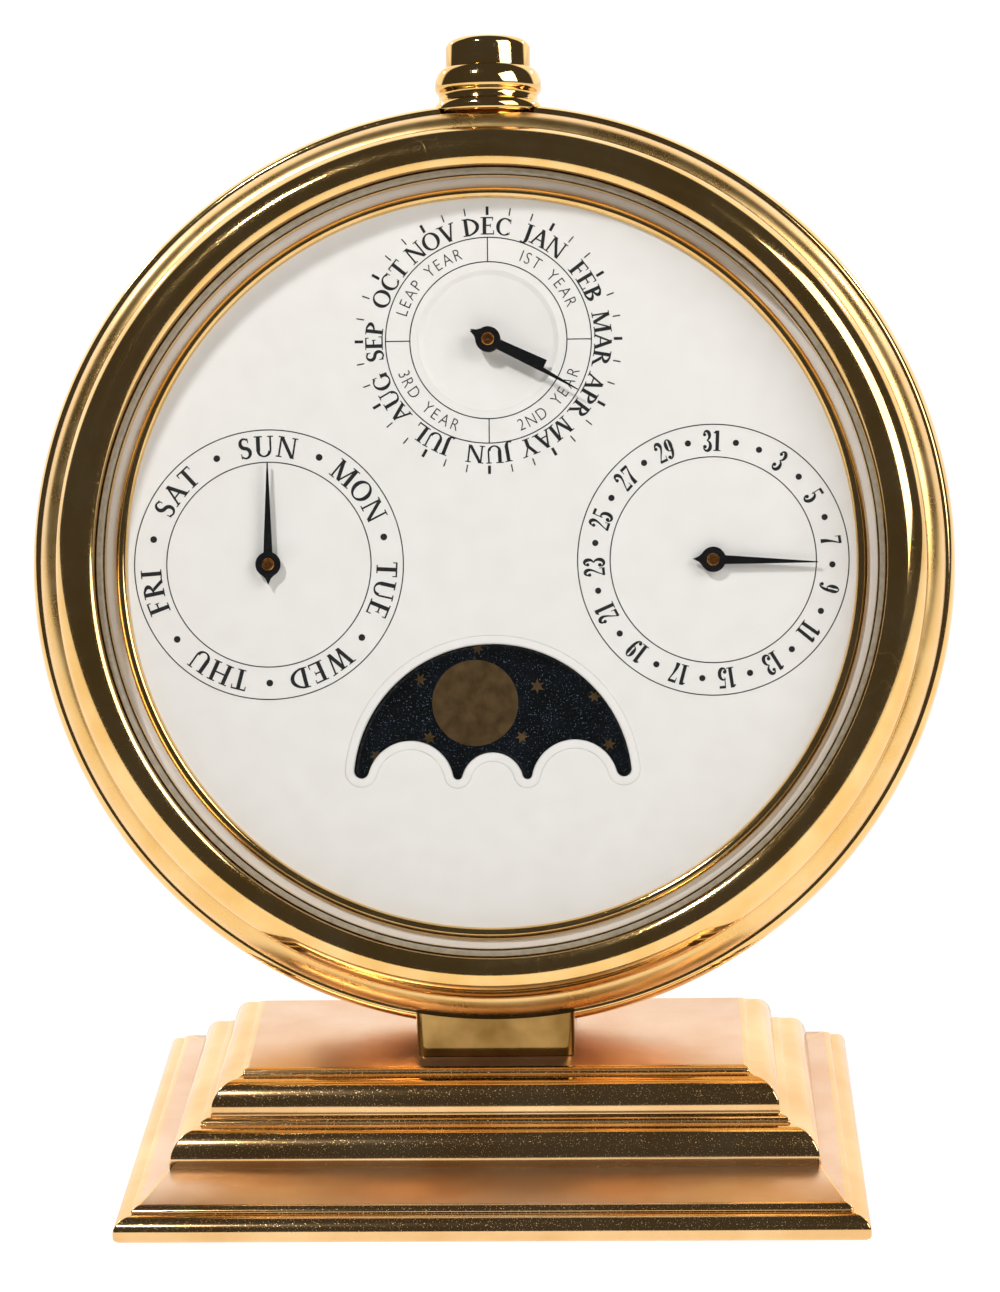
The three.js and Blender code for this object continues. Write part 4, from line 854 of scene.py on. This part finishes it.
# %% [markdown]
# The day ring has seven places with dots between them. The date ring has 31 places, with dots for the even
# days and for the first two. The month ring has a stout tick for each month and two thin ones between. The
# fine circles of each display, and the four dividers of the year band, complete the print.

# %% Circles, dots and ticks
LINE_WIDTH = 0.12
DISPLAY_RINGS, MONTH_RINGS = (15.2, 11.55), (11.6, 8.85)
DOT_RING, YEAR_RING = 13.35, 10.22
DAY_DOT, DATE_DOT = 0.38, 0.35
MONTH_TICK, MONTH_TICK_RING = (0.95, 0.32), 14.6
THIN_TICK, THIN_TICK_RING = (0.85, 0.14), 14.65
DIVIDER = (2.75, LINE_WIDTH)


def printed_circle(axis, radius):
    low, high = radius - LINE_WIDTH / 2, radius + LINE_WIDTH / 2
    corners = [(low, INK_LOW), (high, INK_LOW), (high, INK_HIGH), (low, INK_HIGH), (low, INK_LOW)]
    ring = spun(corners, 144, ink_black)
    ring.transform(at(axis))
    return ring


def dot_mesh(radius):
    return plate([circle((0, 0), radius, 28)], INK_LOW, INK_HIGH)


printed = [printed_circle(axis, r) for axis in (DAY_AXIS, DATE_AXIS) for r in DISPLAY_RINGS]
printed += [printed_circle(MONTH_AXIS, r) for r in MONTH_RINGS]
printed.append(marks_round(dot_mesh(DAY_DOT), DAY_AXIS, 7, DOT_RING, 90 + 180 / 7))
date_dots = marks_round(dot_mesh(DATE_DOT), (0, 0), 31, DOT_RING, -90, Every=2, Skip_first=True, Also=1)
date_dots.transform(at(DATE_AXIS) @ Matrix.Diagonal((1, -1, 1, 1)))
date_dots.flip_normals()
printed.append(date_dots)
printed.append(marks_round(box_mesh(*MONTH_TICK), MONTH_AXIS, 12, MONTH_TICK_RING))
for shift in (10, 20):
    printed.append(marks_round(box_mesh(*THIN_TICK), MONTH_AXIS, 12, THIN_TICK_RING, 90 + shift))
printed.append(marks_round(box_mesh(*DIVIDER), MONTH_AXIS, 4, YEAR_RING))
print("printed marks:", sum(len(m.polygons) for m in printed), "faces")

# %% [markdown]
# The capitals and numerals are drawn the way a sign-writer builds roman letters: stout stems, hairlines,
# small serifs and bowls that swell at their sides. A stroke is a ribbon along a line, and each glyph is a
# few strokes. All sizes are shares of the capital height.

# %% Strokes of the letters
HAIR, STEM = 0.075, 0.165
SERIF, SERIF_REACH = 0.055, 0.09


def block(left, low, right, high):
    return [(left, low), (right, low), (right, high), (left, high)]


def slant(x0, y0, x1, y1, width):
    """A diagonal with level ends."""
    half = width / 2
    return [(x0 - half, y0), (x0 + half, y0), (x1 + half, y1), (x1 - half, y1)]


def ribbon(points, widths):
    """A stroke of changing width along a chain of points."""
    left, right = [], []
    for i, point in enumerate(points):
        ahead = Vector(points[min(i + 1, len(points) - 1)]) - Vector(points[max(i - 1, 0)])
        side = Vector((-ahead.y, ahead.x)).normalized() * widths[i] / 2
        left.append(tuple(Vector(point) + side))
        right.append(tuple(Vector(point) - side))
    return left + right[::-1]


def bowl(cx, cy, rx, ry, start, end, stout=STEM, fine=HAIR, steps=20):
    """Part of an oval that is stout at its sides and fine at top and bottom."""
    angles = [math.radians(start + (end - start) * i / steps) for i in range(steps + 1)]
    widths = [fine + (stout - fine) * abs(math.cos(a)) ** 1.5 for a in angles]
    points = [(cx + (rx - w / 2) * math.cos(a), cy + (ry - w / 2) * math.sin(a))
              for a, w in zip(angles, widths)]
    return ribbon(points, widths)


def serif(x, high=False, reach=SERIF_REACH, half=STEM / 2):
    low = 1 - SERIF if high else 0
    return block(x - half - reach, low, x + half + reach, low + SERIF)


def stem(x, low=0.0, high=1.0, width=STEM, foot=True, head=True):
    ends = ([serif(x, half=width / 2)] if foot else []) + ([serif(x, True, half=width / 2)] if head else [])
    return [block(x - width / 2, low, x + width / 2, high)] + ends


def full_bowl(cx, cy, rx, ry, stout=STEM, fine=HAIR):
    return [bowl(cx, cy, rx, ry, start, start + span, stout, fine) for start, span in ((0, 185), (180, 185))]


print("a bowl has", len(bowl(0, 0, 1, 1, 0, 180)), "points")

# %% [markdown]
# Each letter is given as its advance, the room that it takes on the line, and its strokes.

# %% Letters
S_LINE = arc(0.28, 0.745, 0.17, 0.225, 35, 250, 14) + arc(0.27, 0.265, 0.19, 0.235, 70, -145, 14)
S_SHARES = [i / (len(S_LINE) - 1) for i in range(len(S_LINE))]
S_WIDTHS = [HAIR + (STEM * 1.05 - HAIR) * math.sin(math.pi * share) ** 2 for share in S_SHARES]
E_ARMS = [block(0.16, 1 - HAIR, 0.56, 1), block(0.52, 0.8, 0.56, 1), block(0.16, 0.49, 0.45, 0.49 + HAIR),
          block(0.42, 0.41, 0.455, 0.62)]
E_FOOT = [block(0.16, 0, 0.6, HAIR), block(0.565, 0, 0.61, 0.24)]
P_BOWL = bowl(0.16, 0.74, 0.42, 0.265, 90, -90)
LETTERS = {
    "A": (0.8, [slant(0.1, 0, 0.41, 1, HAIR * 1.2), slant(0.69, 0, 0.39, 1, STEM),
                block(0.2, 0.32, 0.6, 0.32 + HAIR), serif(0.1, half=0.03), serif(0.69)]),
    "B": (0.68, stem(0.16) + [bowl(0.16, 0.755, 0.38, 0.245, 90, -90),
                              bowl(0.16, 0.265, 0.45, 0.265, 90, -90)]),
    "C": (0.76, [bowl(0.43, 0.5, 0.4, 0.51, 50, 310), block(0.66, 0.7, 0.7, 0.96),
                 block(0.66, 0.08, 0.69, 0.24)]),
    "D": (0.84, stem(0.16) + [bowl(0.16, 0.5, 0.61, 0.5, 90, -90)]),
    "E": (0.66, stem(0.16) + E_ARMS + E_FOOT),
    "F": (0.6, stem(0.16) + E_ARMS),
    "G": (0.82, [bowl(0.43, 0.5, 0.4, 0.51, 50, 320), block(0.66, 0.7, 0.7, 0.96)]
          + stem(0.7, 0.06, 0.44, foot=False, head=False) + [block(0.58, 0.42, 0.82, 0.42 + SERIF)]),
    "H": (0.88, stem(0.16) + stem(0.71) + [block(0.16, 0.49, 0.71, 0.49 + HAIR)]),
    "I": (0.34, stem(0.17)),
    "J": (0.42, stem(0.25, 0.08, foot=False) + [bowl(0.1, 0.08, 0.2175, 0.24, 0, -125)]),
    "L": (0.62, stem(0.16) + [block(0.16, 0, 0.57, HAIR), block(0.535, 0, 0.58, 0.26)]),
    "M": (1.0, stem(0.14, width=HAIR) + stem(0.85)
          + [slant(0.48, 0.03, 0.15, 1, STEM), slant(0.48, 0.03, 0.83, 1, HAIR)]),
    "N": (0.88, stem(0.15, width=HAIR) + stem(0.74, width=HAIR, foot=False)
          + [slant(0.72, 0, 0.16, 1, STEM)]),
    "O": (0.88, full_bowl(0.44, 0.5, 0.42, 0.51)),
    "P": (0.64, stem(0.16) + [P_BOWL]),
    "R": (0.74, stem(0.16) + [P_BOWL, slant(0.66, 0, 0.34, 0.5, STEM), serif(0.68, reach=0.05)]),
    "S": (0.56, [ribbon(S_LINE, S_WIDTHS), block(0.42, 0.74, 0.46, 0.97), block(0.07, 0.03, 0.11, 0.27)]),
    "T": (0.7, stem(0.35, head=False) + [block(0.05, 1 - HAIR, 0.65, 1), block(0.04, 0.78, 0.08, 1),
                                         block(0.62, 0.78, 0.66, 1)]),
    "U": (0.86, stem(0.18, 0.28, foot=False) + stem(0.7, 0.28, width=HAIR, foot=False)
          + [bowl(0.42, 0.29, 0.3075, 0.31, 180, 360, STEM * 0.8)]),
    "V": (0.8, [slant(0.42, 0, 0.13, 1, STEM), slant(0.42, 0, 0.7, 1, HAIR * 1.2), serif(0.13, True),
                serif(0.7, True, half=0.03)]),
    "W": (1.14, [slant(0.34, 0, 0.12, 1, STEM), slant(0.34, 0, 0.56, 1, HAIR), slant(0.78, 0, 0.56, 1, STEM),
                 slant(0.78, 0, 1.0, 1, HAIR), serif(0.12, True), serif(0.56, True),
                 serif(1.0, True, half=0.03)]),
    "Y": (0.78, [slant(0.41, 0.44, 0.13, 1, STEM), slant(0.41, 0.44, 0.68, 1, HAIR), serif(0.13, True),
                 serif(0.68, True, half=0.03)] + stem(0.41, 0, 0.47, head=False)),
}
print("letters:", "".join(LETTERS))

# %% [markdown]
# The numerals of the date are of a narrow bold cut, with fine hairlines and round drops at the ends of the
# curves.

# %% Numerals
BOLD, FINE = 0.17, 0.045


def drop(cx, cy, radius=0.085):
    return circle((cx, cy), radius, 14)


def stroke(points, stout=BOLD, peak=0.5):
    count = len(points) - 1
    shares = [min(1, max(0, i / count - peak + 0.5)) for i in range(count + 1)]
    return ribbon(points, [FINE + (stout - FINE) * math.sin(math.pi * share) ** 1.3 for share in shares])


TWO_LINE = arc(0.23, 0.76, 0.14, 0.21, 170, -25, 14) + [(0.3, 0.52), (0.2, 0.34), (0.09, 0.1)]
NUMERALS = {
    "1": (0.38, [block(0.12, 0, 0.12 + BOLD, 1), block(0.03, 0, 0.38, 0.05),
                 [(0.12, 1), (0.12, 0.86), (0.02, 0.86), (0.02, 0.9)]]),
    "2": (0.48, [stroke(TWO_LINE), block(0.05, 0, 0.42, 0.13), block(0.395, 0, 0.43, 0.27),
                 drop(0.12, 0.76)]),
    "3": (0.48, [stroke(arc(0.19, 0.76, 0.15, 0.22, 150, -85, 14)),
                 stroke(arc(0.18, 0.27, 0.18, 0.25, 85, -155, 14)),
                 drop(0.1, 0.81, 0.08), drop(0.09, 0.22, 0.09)]),
    "5": (0.47, [block(0.1, 0.87, 0.4, 1), block(0.09, 0.47, 0.135, 1),
                 stroke(arc(0.18, 0.3, 0.18, 0.28, 125, -155, 16)), drop(0.1, 0.2, 0.09)]),
    "7": (0.45, [block(0.05, 0.86, 0.43, 1), block(0.045, 0.72, 0.08, 1),
                 ribbon([(0.4, 0.9), (0.27, 0.55), (0.2, 0.25), (0.19, 0)], [0.05, 0.09, 0.16, 0.2])]),
    "9": (0.48, full_bowl(0.23, 0.69, 0.2, 0.31, BOLD, FINE)
          + [stroke(arc(0.15, 0.6, 0.2, 0.58, 20, -110, 14), 0.14, peak=0.3), drop(0.11, 0.12)]),
}
print("numerals:", "".join(NUMERALS))

# %% [markdown]
# Overlapping strokes are fused, so that each glyph is one clean body: a boolean union that also looks at
# the strokes' own crossings. It runs once for each glyph, and the copies share the result.

# %% Fuse the strokes
def fusing_tree():
    tree, given, close = tree_with("Fuse strokes")
    settings = {"operation": "UNION", "solver": "EXACT"}
    union = node(tree, "GeometryNodeMeshBoolean", settings, Self_Intersection=True)
    tree.links.new(given["Geometry"], union.inputs["Mesh 2"])
    return close(union.outputs["Mesh"])


FUSING = fusing_tree()


def shoelace(points):
    return sum(x0 * y1 - x1 * y0 for (x0, y0), (x1, y1) in zip(points, points[1:] + points[:1]))


def glyph_mesh(strokes):
    points, faces = [], []
    for outline in strokes:
        run = outline if shoelace(outline) > 0 else outline[::-1]
        low, size = len(points), len(run)
        high = low + size
        points += [(x, y, z) for z in (0, 1) for x, y in run]
        faces += [tuple(range(low, high))[::-1], tuple(range(high, high + size))]
        faces += [(low + i, low + (i + 1) % size, high + (i + 1) % size, high + i) for i in range(size)]
    return baked(mesh_of(points, faces), FUSING, Finish=ink_black)


GLYPHS = {sign: (advance, glyph_mesh(strokes))
          for table in (LETTERS, NUMERALS) for sign, (advance, strokes) in table.items()}
print("glyph faces:", sum(len(m.polygons) for _, m in GLYPHS.values()))

# %% [markdown]
# A word follows its ring letter by letter: each letter stands upright on the circle at its own angle,
# clockwise, with its top outwards, or with its top to the centre where a word would otherwise read upside
# down.

# %% Words round a circle
def along_ring(word, glyphs, axis, radius, degrees, size, spacing, inward=False, wide=1.0):
    """Copies of the glyphs whose middles lie on the circle, centred at degrees clockwise from the top."""
    room = sum(glyphs[sign][0] for sign in word) + spacing * (len(word) - 1)
    travel, copies = -room / 2, []
    for sign in word:
        advance, mesh = glyphs[sign]
        middle = (travel + advance / 2) * size * wide / radius
        turn = Matrix.Rotation(-math.radians(degrees) + (middle if inward else -middle), 4, "Z")
        flip = Matrix.Rotation(math.pi if inward else 0, 4, "Z")
        copy = mesh.copy()
        copy.transform(at(axis) @ turn @ at((0, radius)) @ flip
                       @ Matrix.Diagonal((size * wide, size, INK_HIGH, 1)) @ at((-advance / 2, -0.5)))
        copies.append(copy)
        travel += advance + spacing
    return copies


DAY_SIZE, DAY_GAP, DAY_WIDE = 2.35, 0.1, 1.14
MONTH_RING, MONTH_SIZE, MONTH_WIDE = 12.9, 1.98, 1.22
DATE_SIZE, TIGHT_GAP = 2.3, 0.02
DAYS = ["SUN", "MON", "TUE", "WED", "THU", "FRI", "SAT"]
MONTHS = ["DEC", "JAN", "FEB", "MAR", "APR", "MAY", "JUN", "JUL", "AUG", "SEP", "OCT", "NOV"]
DATES = [str(number) for number in range(3, 32, 2)]
words = []
for number, word in enumerate(DAYS):
    angle = number * 360 / 7
    words += along_ring(word, GLYPHS, DAY_AXIS, DOT_RING, angle, DAY_SIZE, DAY_GAP, wide=DAY_WIDE)
for number, word in enumerate(MONTHS):
    angle = number * 30
    words += along_ring(word, GLYPHS, MONTH_AXIS, MONTH_RING, angle, MONTH_SIZE, TIGHT_GAP, wide=MONTH_WIDE)
for word in DATES:
    words += along_ring(word, GLYPHS, DATE_AXIS, DOT_RING, int(word) * 360 / 31, DATE_SIZE, TIGHT_GAP)
print("placed glyphs:", len(words))

# %% [markdown]
# The four sectors of the inner band name the years of the leap-year cycle in a thin plain hand, without
# serifs. Blender's own letters serve here. Each is taken as a mesh and scaled by the height of the capital
# H.

# %% Year band
PLAIN_WIDE, PLAIN_GAP, PLAIN_THINNER = 0.84, 0.45, -0.012
YEAR_SIZE, YEAR_GAP = 1.3, 0.3


def plain_letters(signs):
    """Meshes of Blender's plain letters, one unit high, with their advances."""
    made = {}
    for sign in signs:
        text = bpy.data.curves.new("sign", "FONT")
        text.body, text.size, text.offset = sign, 1.0, PLAIN_THINNER
        made[sign] = baked(text)
    tall = max(v.co.y for v in made["H"].vertices)
    table = {" ": (PLAIN_GAP, bpy.data.meshes.new("gap"))}
    for sign, mesh in made.items():
        left, right = min(v.co.x for v in mesh.vertices), max(v.co.x for v in mesh.vertices)
        work = bmesh.new()
        work.from_mesh(mesh)
        grown = bmesh.ops.extrude_face_region(work, geom=work.faces[:])
        top = [v for v in grown["geom"] if isinstance(v, bmesh.types.BMVert)]
        bmesh.ops.translate(work, verts=top, vec=(0, 0, 1))
        work.to_mesh(mesh)
        work.free()
        mesh.transform(Matrix.Diagonal((PLAIN_WIDE / tall, 1 / tall, 1, 1)) @ at((-left, 0)))
        table[sign] = ((right - left) * PLAIN_WIDE / tall, tidy(mesh))
    return table


PLAIN = plain_letters("LEAPYRSTND123H")
YEARS = [("LEAP YEAR", -45), ("1ST YEAR", 45), ("2ND YEAR", 135), ("3RD YEAR", -135)]
for word, degrees in YEARS:
    upside_down = abs(degrees) > 90
    words += along_ring(word, PLAIN, MONTH_AXIS, YEAR_RING, degrees, YEAR_SIZE, YEAR_GAP, upside_down)
dial_print = piece("dial_print", tidy(joined(printed + words), flat_caps=True), "dial_white", ink_black)
print("print:", len(dial_print.data.polygons), "faces")

# %% [markdown]
# A hand is cut from thin steel: a round hub, a long straight taper and a short pointed tail, with its upper
# edges eased. The year hand is broad with a square end. Each is drawn pointing up, then turned to its time.

# %% Hands
HUB, HAND_THICKNESS, HAND_EASE = 1.42, 0.3, 0.05
RIM_BEND, RIM_LEVEL_MM = 1.2, 1e-6


def hand_outline(length, root=1.0, tip=0.12):
    lean = math.degrees(math.asin(root / 2 / HUB))
    tail = [(-0.62, -1.29), (-0.3, -1.62), (0, -2.3), (0.3, -1.62), (0.62, -1.29)]
    right, left = arc(0, 0, HUB, HUB, -64, 90 - lean, 18), arc(0, 0, HUB, HUB, 90 + lean, 244, 18)
    return tail + right + [(tip / 2, length), (-tip / 2, length)] + left


def hand_mesh(outline, bore, low):
    """The outline as a plate with eased edges on both sides."""
    flat = plate([outline, circle((0, 0), bore, 32)], low, low + HAND_THICKNESS)
    work = bmesh.new()
    work.from_mesh(flat)
    rims = [e for e in work.edges if len(e.link_faces) == 2 and e.calc_face_angle(0) > RIM_BEND
            and abs(e.verts[0].co.z - e.verts[1].co.z) < RIM_LEVEL_MM]
    bmesh.ops.bevel(work, geom=rims, offset=HAND_EASE, segments=2, affect="EDGES", clamp_overlap=True)
    work.to_mesh(flat)
    work.free()
    return tidy(flat)


HANDS = [("day", hand_outline(11.5), 0.72, 0.7, 0, DAY_AXIS),
         ("date", hand_outline(11.7), 0.72, 0.7, 92, DATE_AXIS),
         ("year", hand_outline(7.0, 1.15, 1.45), 1.05, 0.7, 116, MONTH_AXIS),
         ("month", hand_outline(11.6), 0.45, 1.3, 120, MONTH_AXIS)]
for name, outline, bore, low, degrees, axis in HANDS:
    axes = CASE @ at(axis) @ Matrix.Rotation(-math.radians(degrees), 4, "Z")
    hand = piece(name + "_pointer", hand_mesh(outline, bore, low), "hand_black", blackened, name + "_hand",
                 axes=axes, body=name)
    print(name, "hand:", len(hand.data.polygons), "faces")

# %% [markdown]
# The brass arbor that carries each hand ends in a small turned boss with a rim and a centre mark.

# %% Arbors
def arbor_profile(shoulder, tip, boss_foot, boss_top, boss):
    stem_part = [(0, -10.5), (0.5, -10.5), (0.5, -9.3), (0.8, -9.3), (0.8, shoulder), (tip, shoulder),
                 (tip, boss_foot)]
    cap = [(boss, boss_foot), (boss, boss_top - 0.1), (boss - 0.1, boss_top), (boss - 0.2, boss_top),
           (boss - 0.26, boss_top - 0.08), (0.16, boss_top - 0.08), (0.1, boss_top - 0.02), (0, boss_top)]
    return stem_part + cap


SHORT_ARBOR = arbor_profile(-3.5, 0.68, 0.72, 1.12, 0.7)
ARBORS = [("day", DAY_AXIS, SHORT_ARBOR), ("date", DATE_AXIS, SHORT_ARBOR),
          ("month", MONTH_AXIS, arbor_profile(-6.4, 0.4, 1.61, 1.8, 0.72))]
for name, axis, profile in ARBORS:
    turned(name + "_staff", profile, 40, "movement_brass", boss_brass, name + "_arbor", axes=CASE @ at(axis),
           body=name)
print("arbors:", len(ARBORS))

# %% [markdown]
# The moon plate turns behind the window. Two moons face each other across its axis, and six-pointed stars
# are strewn between them. A tree places the stars on given points, with a small turn and size of their own
# from a fixed seed.

# %% Moon plate
MOON_PLATE_RADIUS, MOON_BORE = 16.6, 0.95
MOON_FRONT, MOON_BACK, INLAY = -1.6, -2.2, 0.03
MOON_ORBIT, MOON_RADIUS, MOON_TURN = 9.3, 4.86, 102
STAR_RADIUS, STAR_SEED = 0.8, 5
STAR_PLACES = [(-8.1, 11.8), (5.1, 10.9), (11.5, 9.7), (-7.2, 5.2), (3.3, 5.2), (13.1, 4.3), (-13.2, 3.2),
               (-1.6, 15.2)]


def star_outline(radius, points=6, inner=0.45):
    reach = [radius * (inner if i % 2 else 1) for i in range(2 * points)]
    angles = [math.pi * i / points for i in range(2 * points)]
    return [(r * math.sin(a), r * math.cos(a)) for a, r in zip(angles, reach)]


def stars_tree():
    tree, given, close = tree_with("Strewn stars", Star=None, Seed=STAR_SEED, Least=0.75, Most=1.1)
    shape = node(tree, "GeometryNodeObjectInfo", Object=given["Star"]).outputs["Geometry"]

    def drawn(least, most):
        limits = {"_2": least, "_3": most, "Seed": given["Seed"]}
        return node(tree, "FunctionNodeRandomValue", {"data_type": "FLOAT"}, **limits).outputs[1]

    size, turn = drawn(given["Least"], given["Most"]), drawn(0.0, math.pi / 3)
    about_z = node(tree, "ShaderNodeCombineXYZ", Z=turn).outputs[0]
    flat = node(tree, "ShaderNodeCombineXYZ", X=size, Y=size, Z=1.0).outputs[0]
    return close(node(tree, "GeometryNodeInstanceOnPoints", Points=given["Geometry"], Instance=shape,
                      Rotation=about_z, Scale=flat).outputs[0])


on_moon = {"axes": CASE @ at(MOON_AXIS), "body": "moon"}
disc_profile = rounded([(MOON_BORE, MOON_BACK), (MOON_PLATE_RADIUS, MOON_BACK),
                        (MOON_PLATE_RADIUS, MOON_FRONT), (MOON_BORE, MOON_FRONT), (MOON_BORE, MOON_BACK)],
                       RING_EASE)
turned("moon_plate", disc_profile, 160, "moon_enamel", night_enamel, "moon_disc", **on_moon)
moon_spots = arc(0, 0, MOON_ORBIT, MOON_ORBIT, MOON_TURN, MOON_TURN + 180, 1)
moons = plate([circle(spot, MOON_RADIUS, 96) for spot in moon_spots], MOON_FRONT, MOON_FRONT + INLAY)
piece("moon_inlays", moons, "movement_brass", dull_gold, **on_moon)
star_holder = linked(plate([star_outline(STAR_RADIUS)], 0, INLAY))
spots = mesh_of([(side * x, side * y, MOON_FRONT) for side in (1, -1) for x, y in STAR_PLACES])
stars = tidy(baked(spots, stars_tree(), Star=star_holder, Finish=dull_gold))
piece("moon_stars", stars, "movement_brass", dull_gold, **on_moon)
bpy.data.objects.remove(star_holder)
print("moon plate with", 2 * len(STAR_PLACES), "stars")

# %% [markdown]
# The back is closed by a lid that drops into the band, turned with a shallow ring, and held by four slotted
# screws. The screws repeat, so one screw goes round a circle through the same tree as the printed marks.

# %% Back lid and its screws
SCREW_RING, SCREW_TURN = 44.8, 45
LID_PROFILE = rounded([(0, -13.75), (30, -13.75), (30.6, -14.0), (45.6, -14.0), (45.6, -13.9), (43.1, -13.9),
                       (43.1, -12.4), (0, -12.4)], 0.12)
lid = turned("back_lid", LID_PROFILE, 224, "gilt", plinth_gilt, "back_cover")
SCREW_PROFILE = rounded([(0, -8.8), (0.8, -8.8), (0.8, -14.3), (1.6, -14.3), (1.6, -14.95), (1.35, -15.1),
                         (0, -15.1)], 0.05)
slot = plate([[(-2, -0.2), (2, -0.2), (2, 0.2), (-2, 0.2)]], -15.6, -14.75)
screw = cut_away(spun(SCREW_PROFILE, 40, bright_steel), slot)
screw_marks = marks_round(screw, (0, 0), 4, SCREW_RING, SCREW_TURN)
screw_nodes = [f"back_screw_{i}" for i in range(1, 5)]
screws = piece("back_lid_screws", screw_marks, "steel", bright_steel, *screw_nodes)
print("lid:", len(lid.data.polygons), "screws:", len(screws.data.polygons), "faces")

# %% [markdown]
# The works inside keep their solids. They get the finish of their metal: wheels and plates in milled brass,
# levers, stars and springs in ground steel, and the pad under the plinth in felt.

# %% Finishes for the works
FINISH_OF_SLOT = {
    "gilt": polished_gilt, "felt": wool_felt, "steel": bright_steel, "movement_brass": movement_brass,
    "hand_black": blackened, "moon_enamel": night_enamel, "dial_white": dial_lacquer, "gasket": gasket_grey,
    "crystal": clear_glass,
}
slot_of = {row["node"]: row["material_slot"] for row in frame["record"]["subparts"]}
for name, solid in frame["nodes"].items():
    solid.data.materials.clear()
    solid.data.materials.append(FINISH_OF_SLOT[slot_of[name]])
print("works dressed:", len(slot_of))

# %% [markdown]
# The floor is plain and pale, and glows a little like a lit sweep of paper. The room is bright behind the
# object and dark elsewhere, and that is what the polished rolls show. A small key light hangs at the upper
# left, a softbox stands at the right, and two small lamps behind the object light its flanks.

# %% Floor, room and lights
FLOOR_GLOW, ROOM_GLOW, BACKDROP_GLOW = 0.95, 0.06, 1.35
BACK_NONE, BACK_FULL, TOP_FULL, TOP_NONE = 0.42, 0.55, 0.66, 0.76
CASE_MIDDLE = Vector((0, 0.01, 0.067))
floor = linked(mesh_of([(-2, -2, 0), (2, -2, 0), (2, 3, 0), (-2, 3, 0)], [(0, 1, 2, 3)]), "floor")
floor_material, _, floor_shader = finish("pale_floor", Roughness=0.9, Emission_Strength=FLOOR_GLOW)
floor_shader.inputs["Base Color"].default_value = linear("#8A8683")
floor_shader.inputs["Emission Color"].default_value = linear("#FFFDFB")
floor.data.materials.append(floor_material)


def room_light():
    """A bright backdrop behind, up to 43 degrees high, and a dark room everywhere else."""
    world = bpy.data.worlds.new("studio_room")
    world.use_nodes = True
    bpy.context.scene.world = world
    tree = world.node_tree
    parts = node(tree, "ShaderNodeSeparateXYZ", Vector=node(tree, "ShaderNodeTexCoord").outputs["Generated"])
    soft = {"interpolation_type": "SMOOTHSTEP"}
    behind = node(tree, "ShaderNodeMapRange", soft, Value=parts.outputs["Y"], _1=BACK_NONE, _2=BACK_FULL)
    low = node(tree, "ShaderNodeMapRange", soft, Value=parts.outputs["Z"], _1=TOP_FULL, _2=TOP_NONE, _3=1.0,
               _4=0.0)
    both = maths(tree, "MULTIPLY", behind.outputs[0], low.outputs[0])
    background = tree.nodes["Background"]
    tree.links.new(spread(tree, both, ROOM_GLOW, BACKDROP_GLOW), background.inputs["Strength"])
    background.inputs["Color"].default_value = linear("#FFFAF4")


def lamp(name, azimuth, elevation, distance, width, height, watts):
    """A soft lamp aimed at the case, at an azimuth to the right of straight ahead and an elevation."""
    light = bpy.data.lights.new(name, "AREA")
    light.shape, light.size, light.size_y, light.energy = "RECTANGLE", width, height, watts
    turn, rise = math.radians(azimuth), math.radians(elevation)
    way = Vector((math.sin(turn) * math.cos(rise), -math.cos(turn) * math.cos(rise), math.sin(rise)))
    made = linked(light, name)
    made.location = CASE_MIDDLE + way * distance
    made.rotation_euler = (-way).to_track_quat("-Z", "Y").to_euler()


room_light()
lamp("key_upper_left", -42, 54, 0.9, 0.08, 0.08, 4.6)
lamp("softbox_right", 56, 32, 0.55, 0.32, 0.34, 1.6)
lamp("backdrop_lamp_right", 137, 21, 0.6, 0.05, 0.03, 0.25)
lamp("backdrop_lamp_left", -137, 21, 0.6, 0.05, 0.03, 0.25)
print("lights:", len(bpy.data.lights))

# %% [markdown]
# The colours are shown plainly, without a film curve.

# %% Colours and the end
bpy.context.scene.view_settings.view_transform = "Standard"
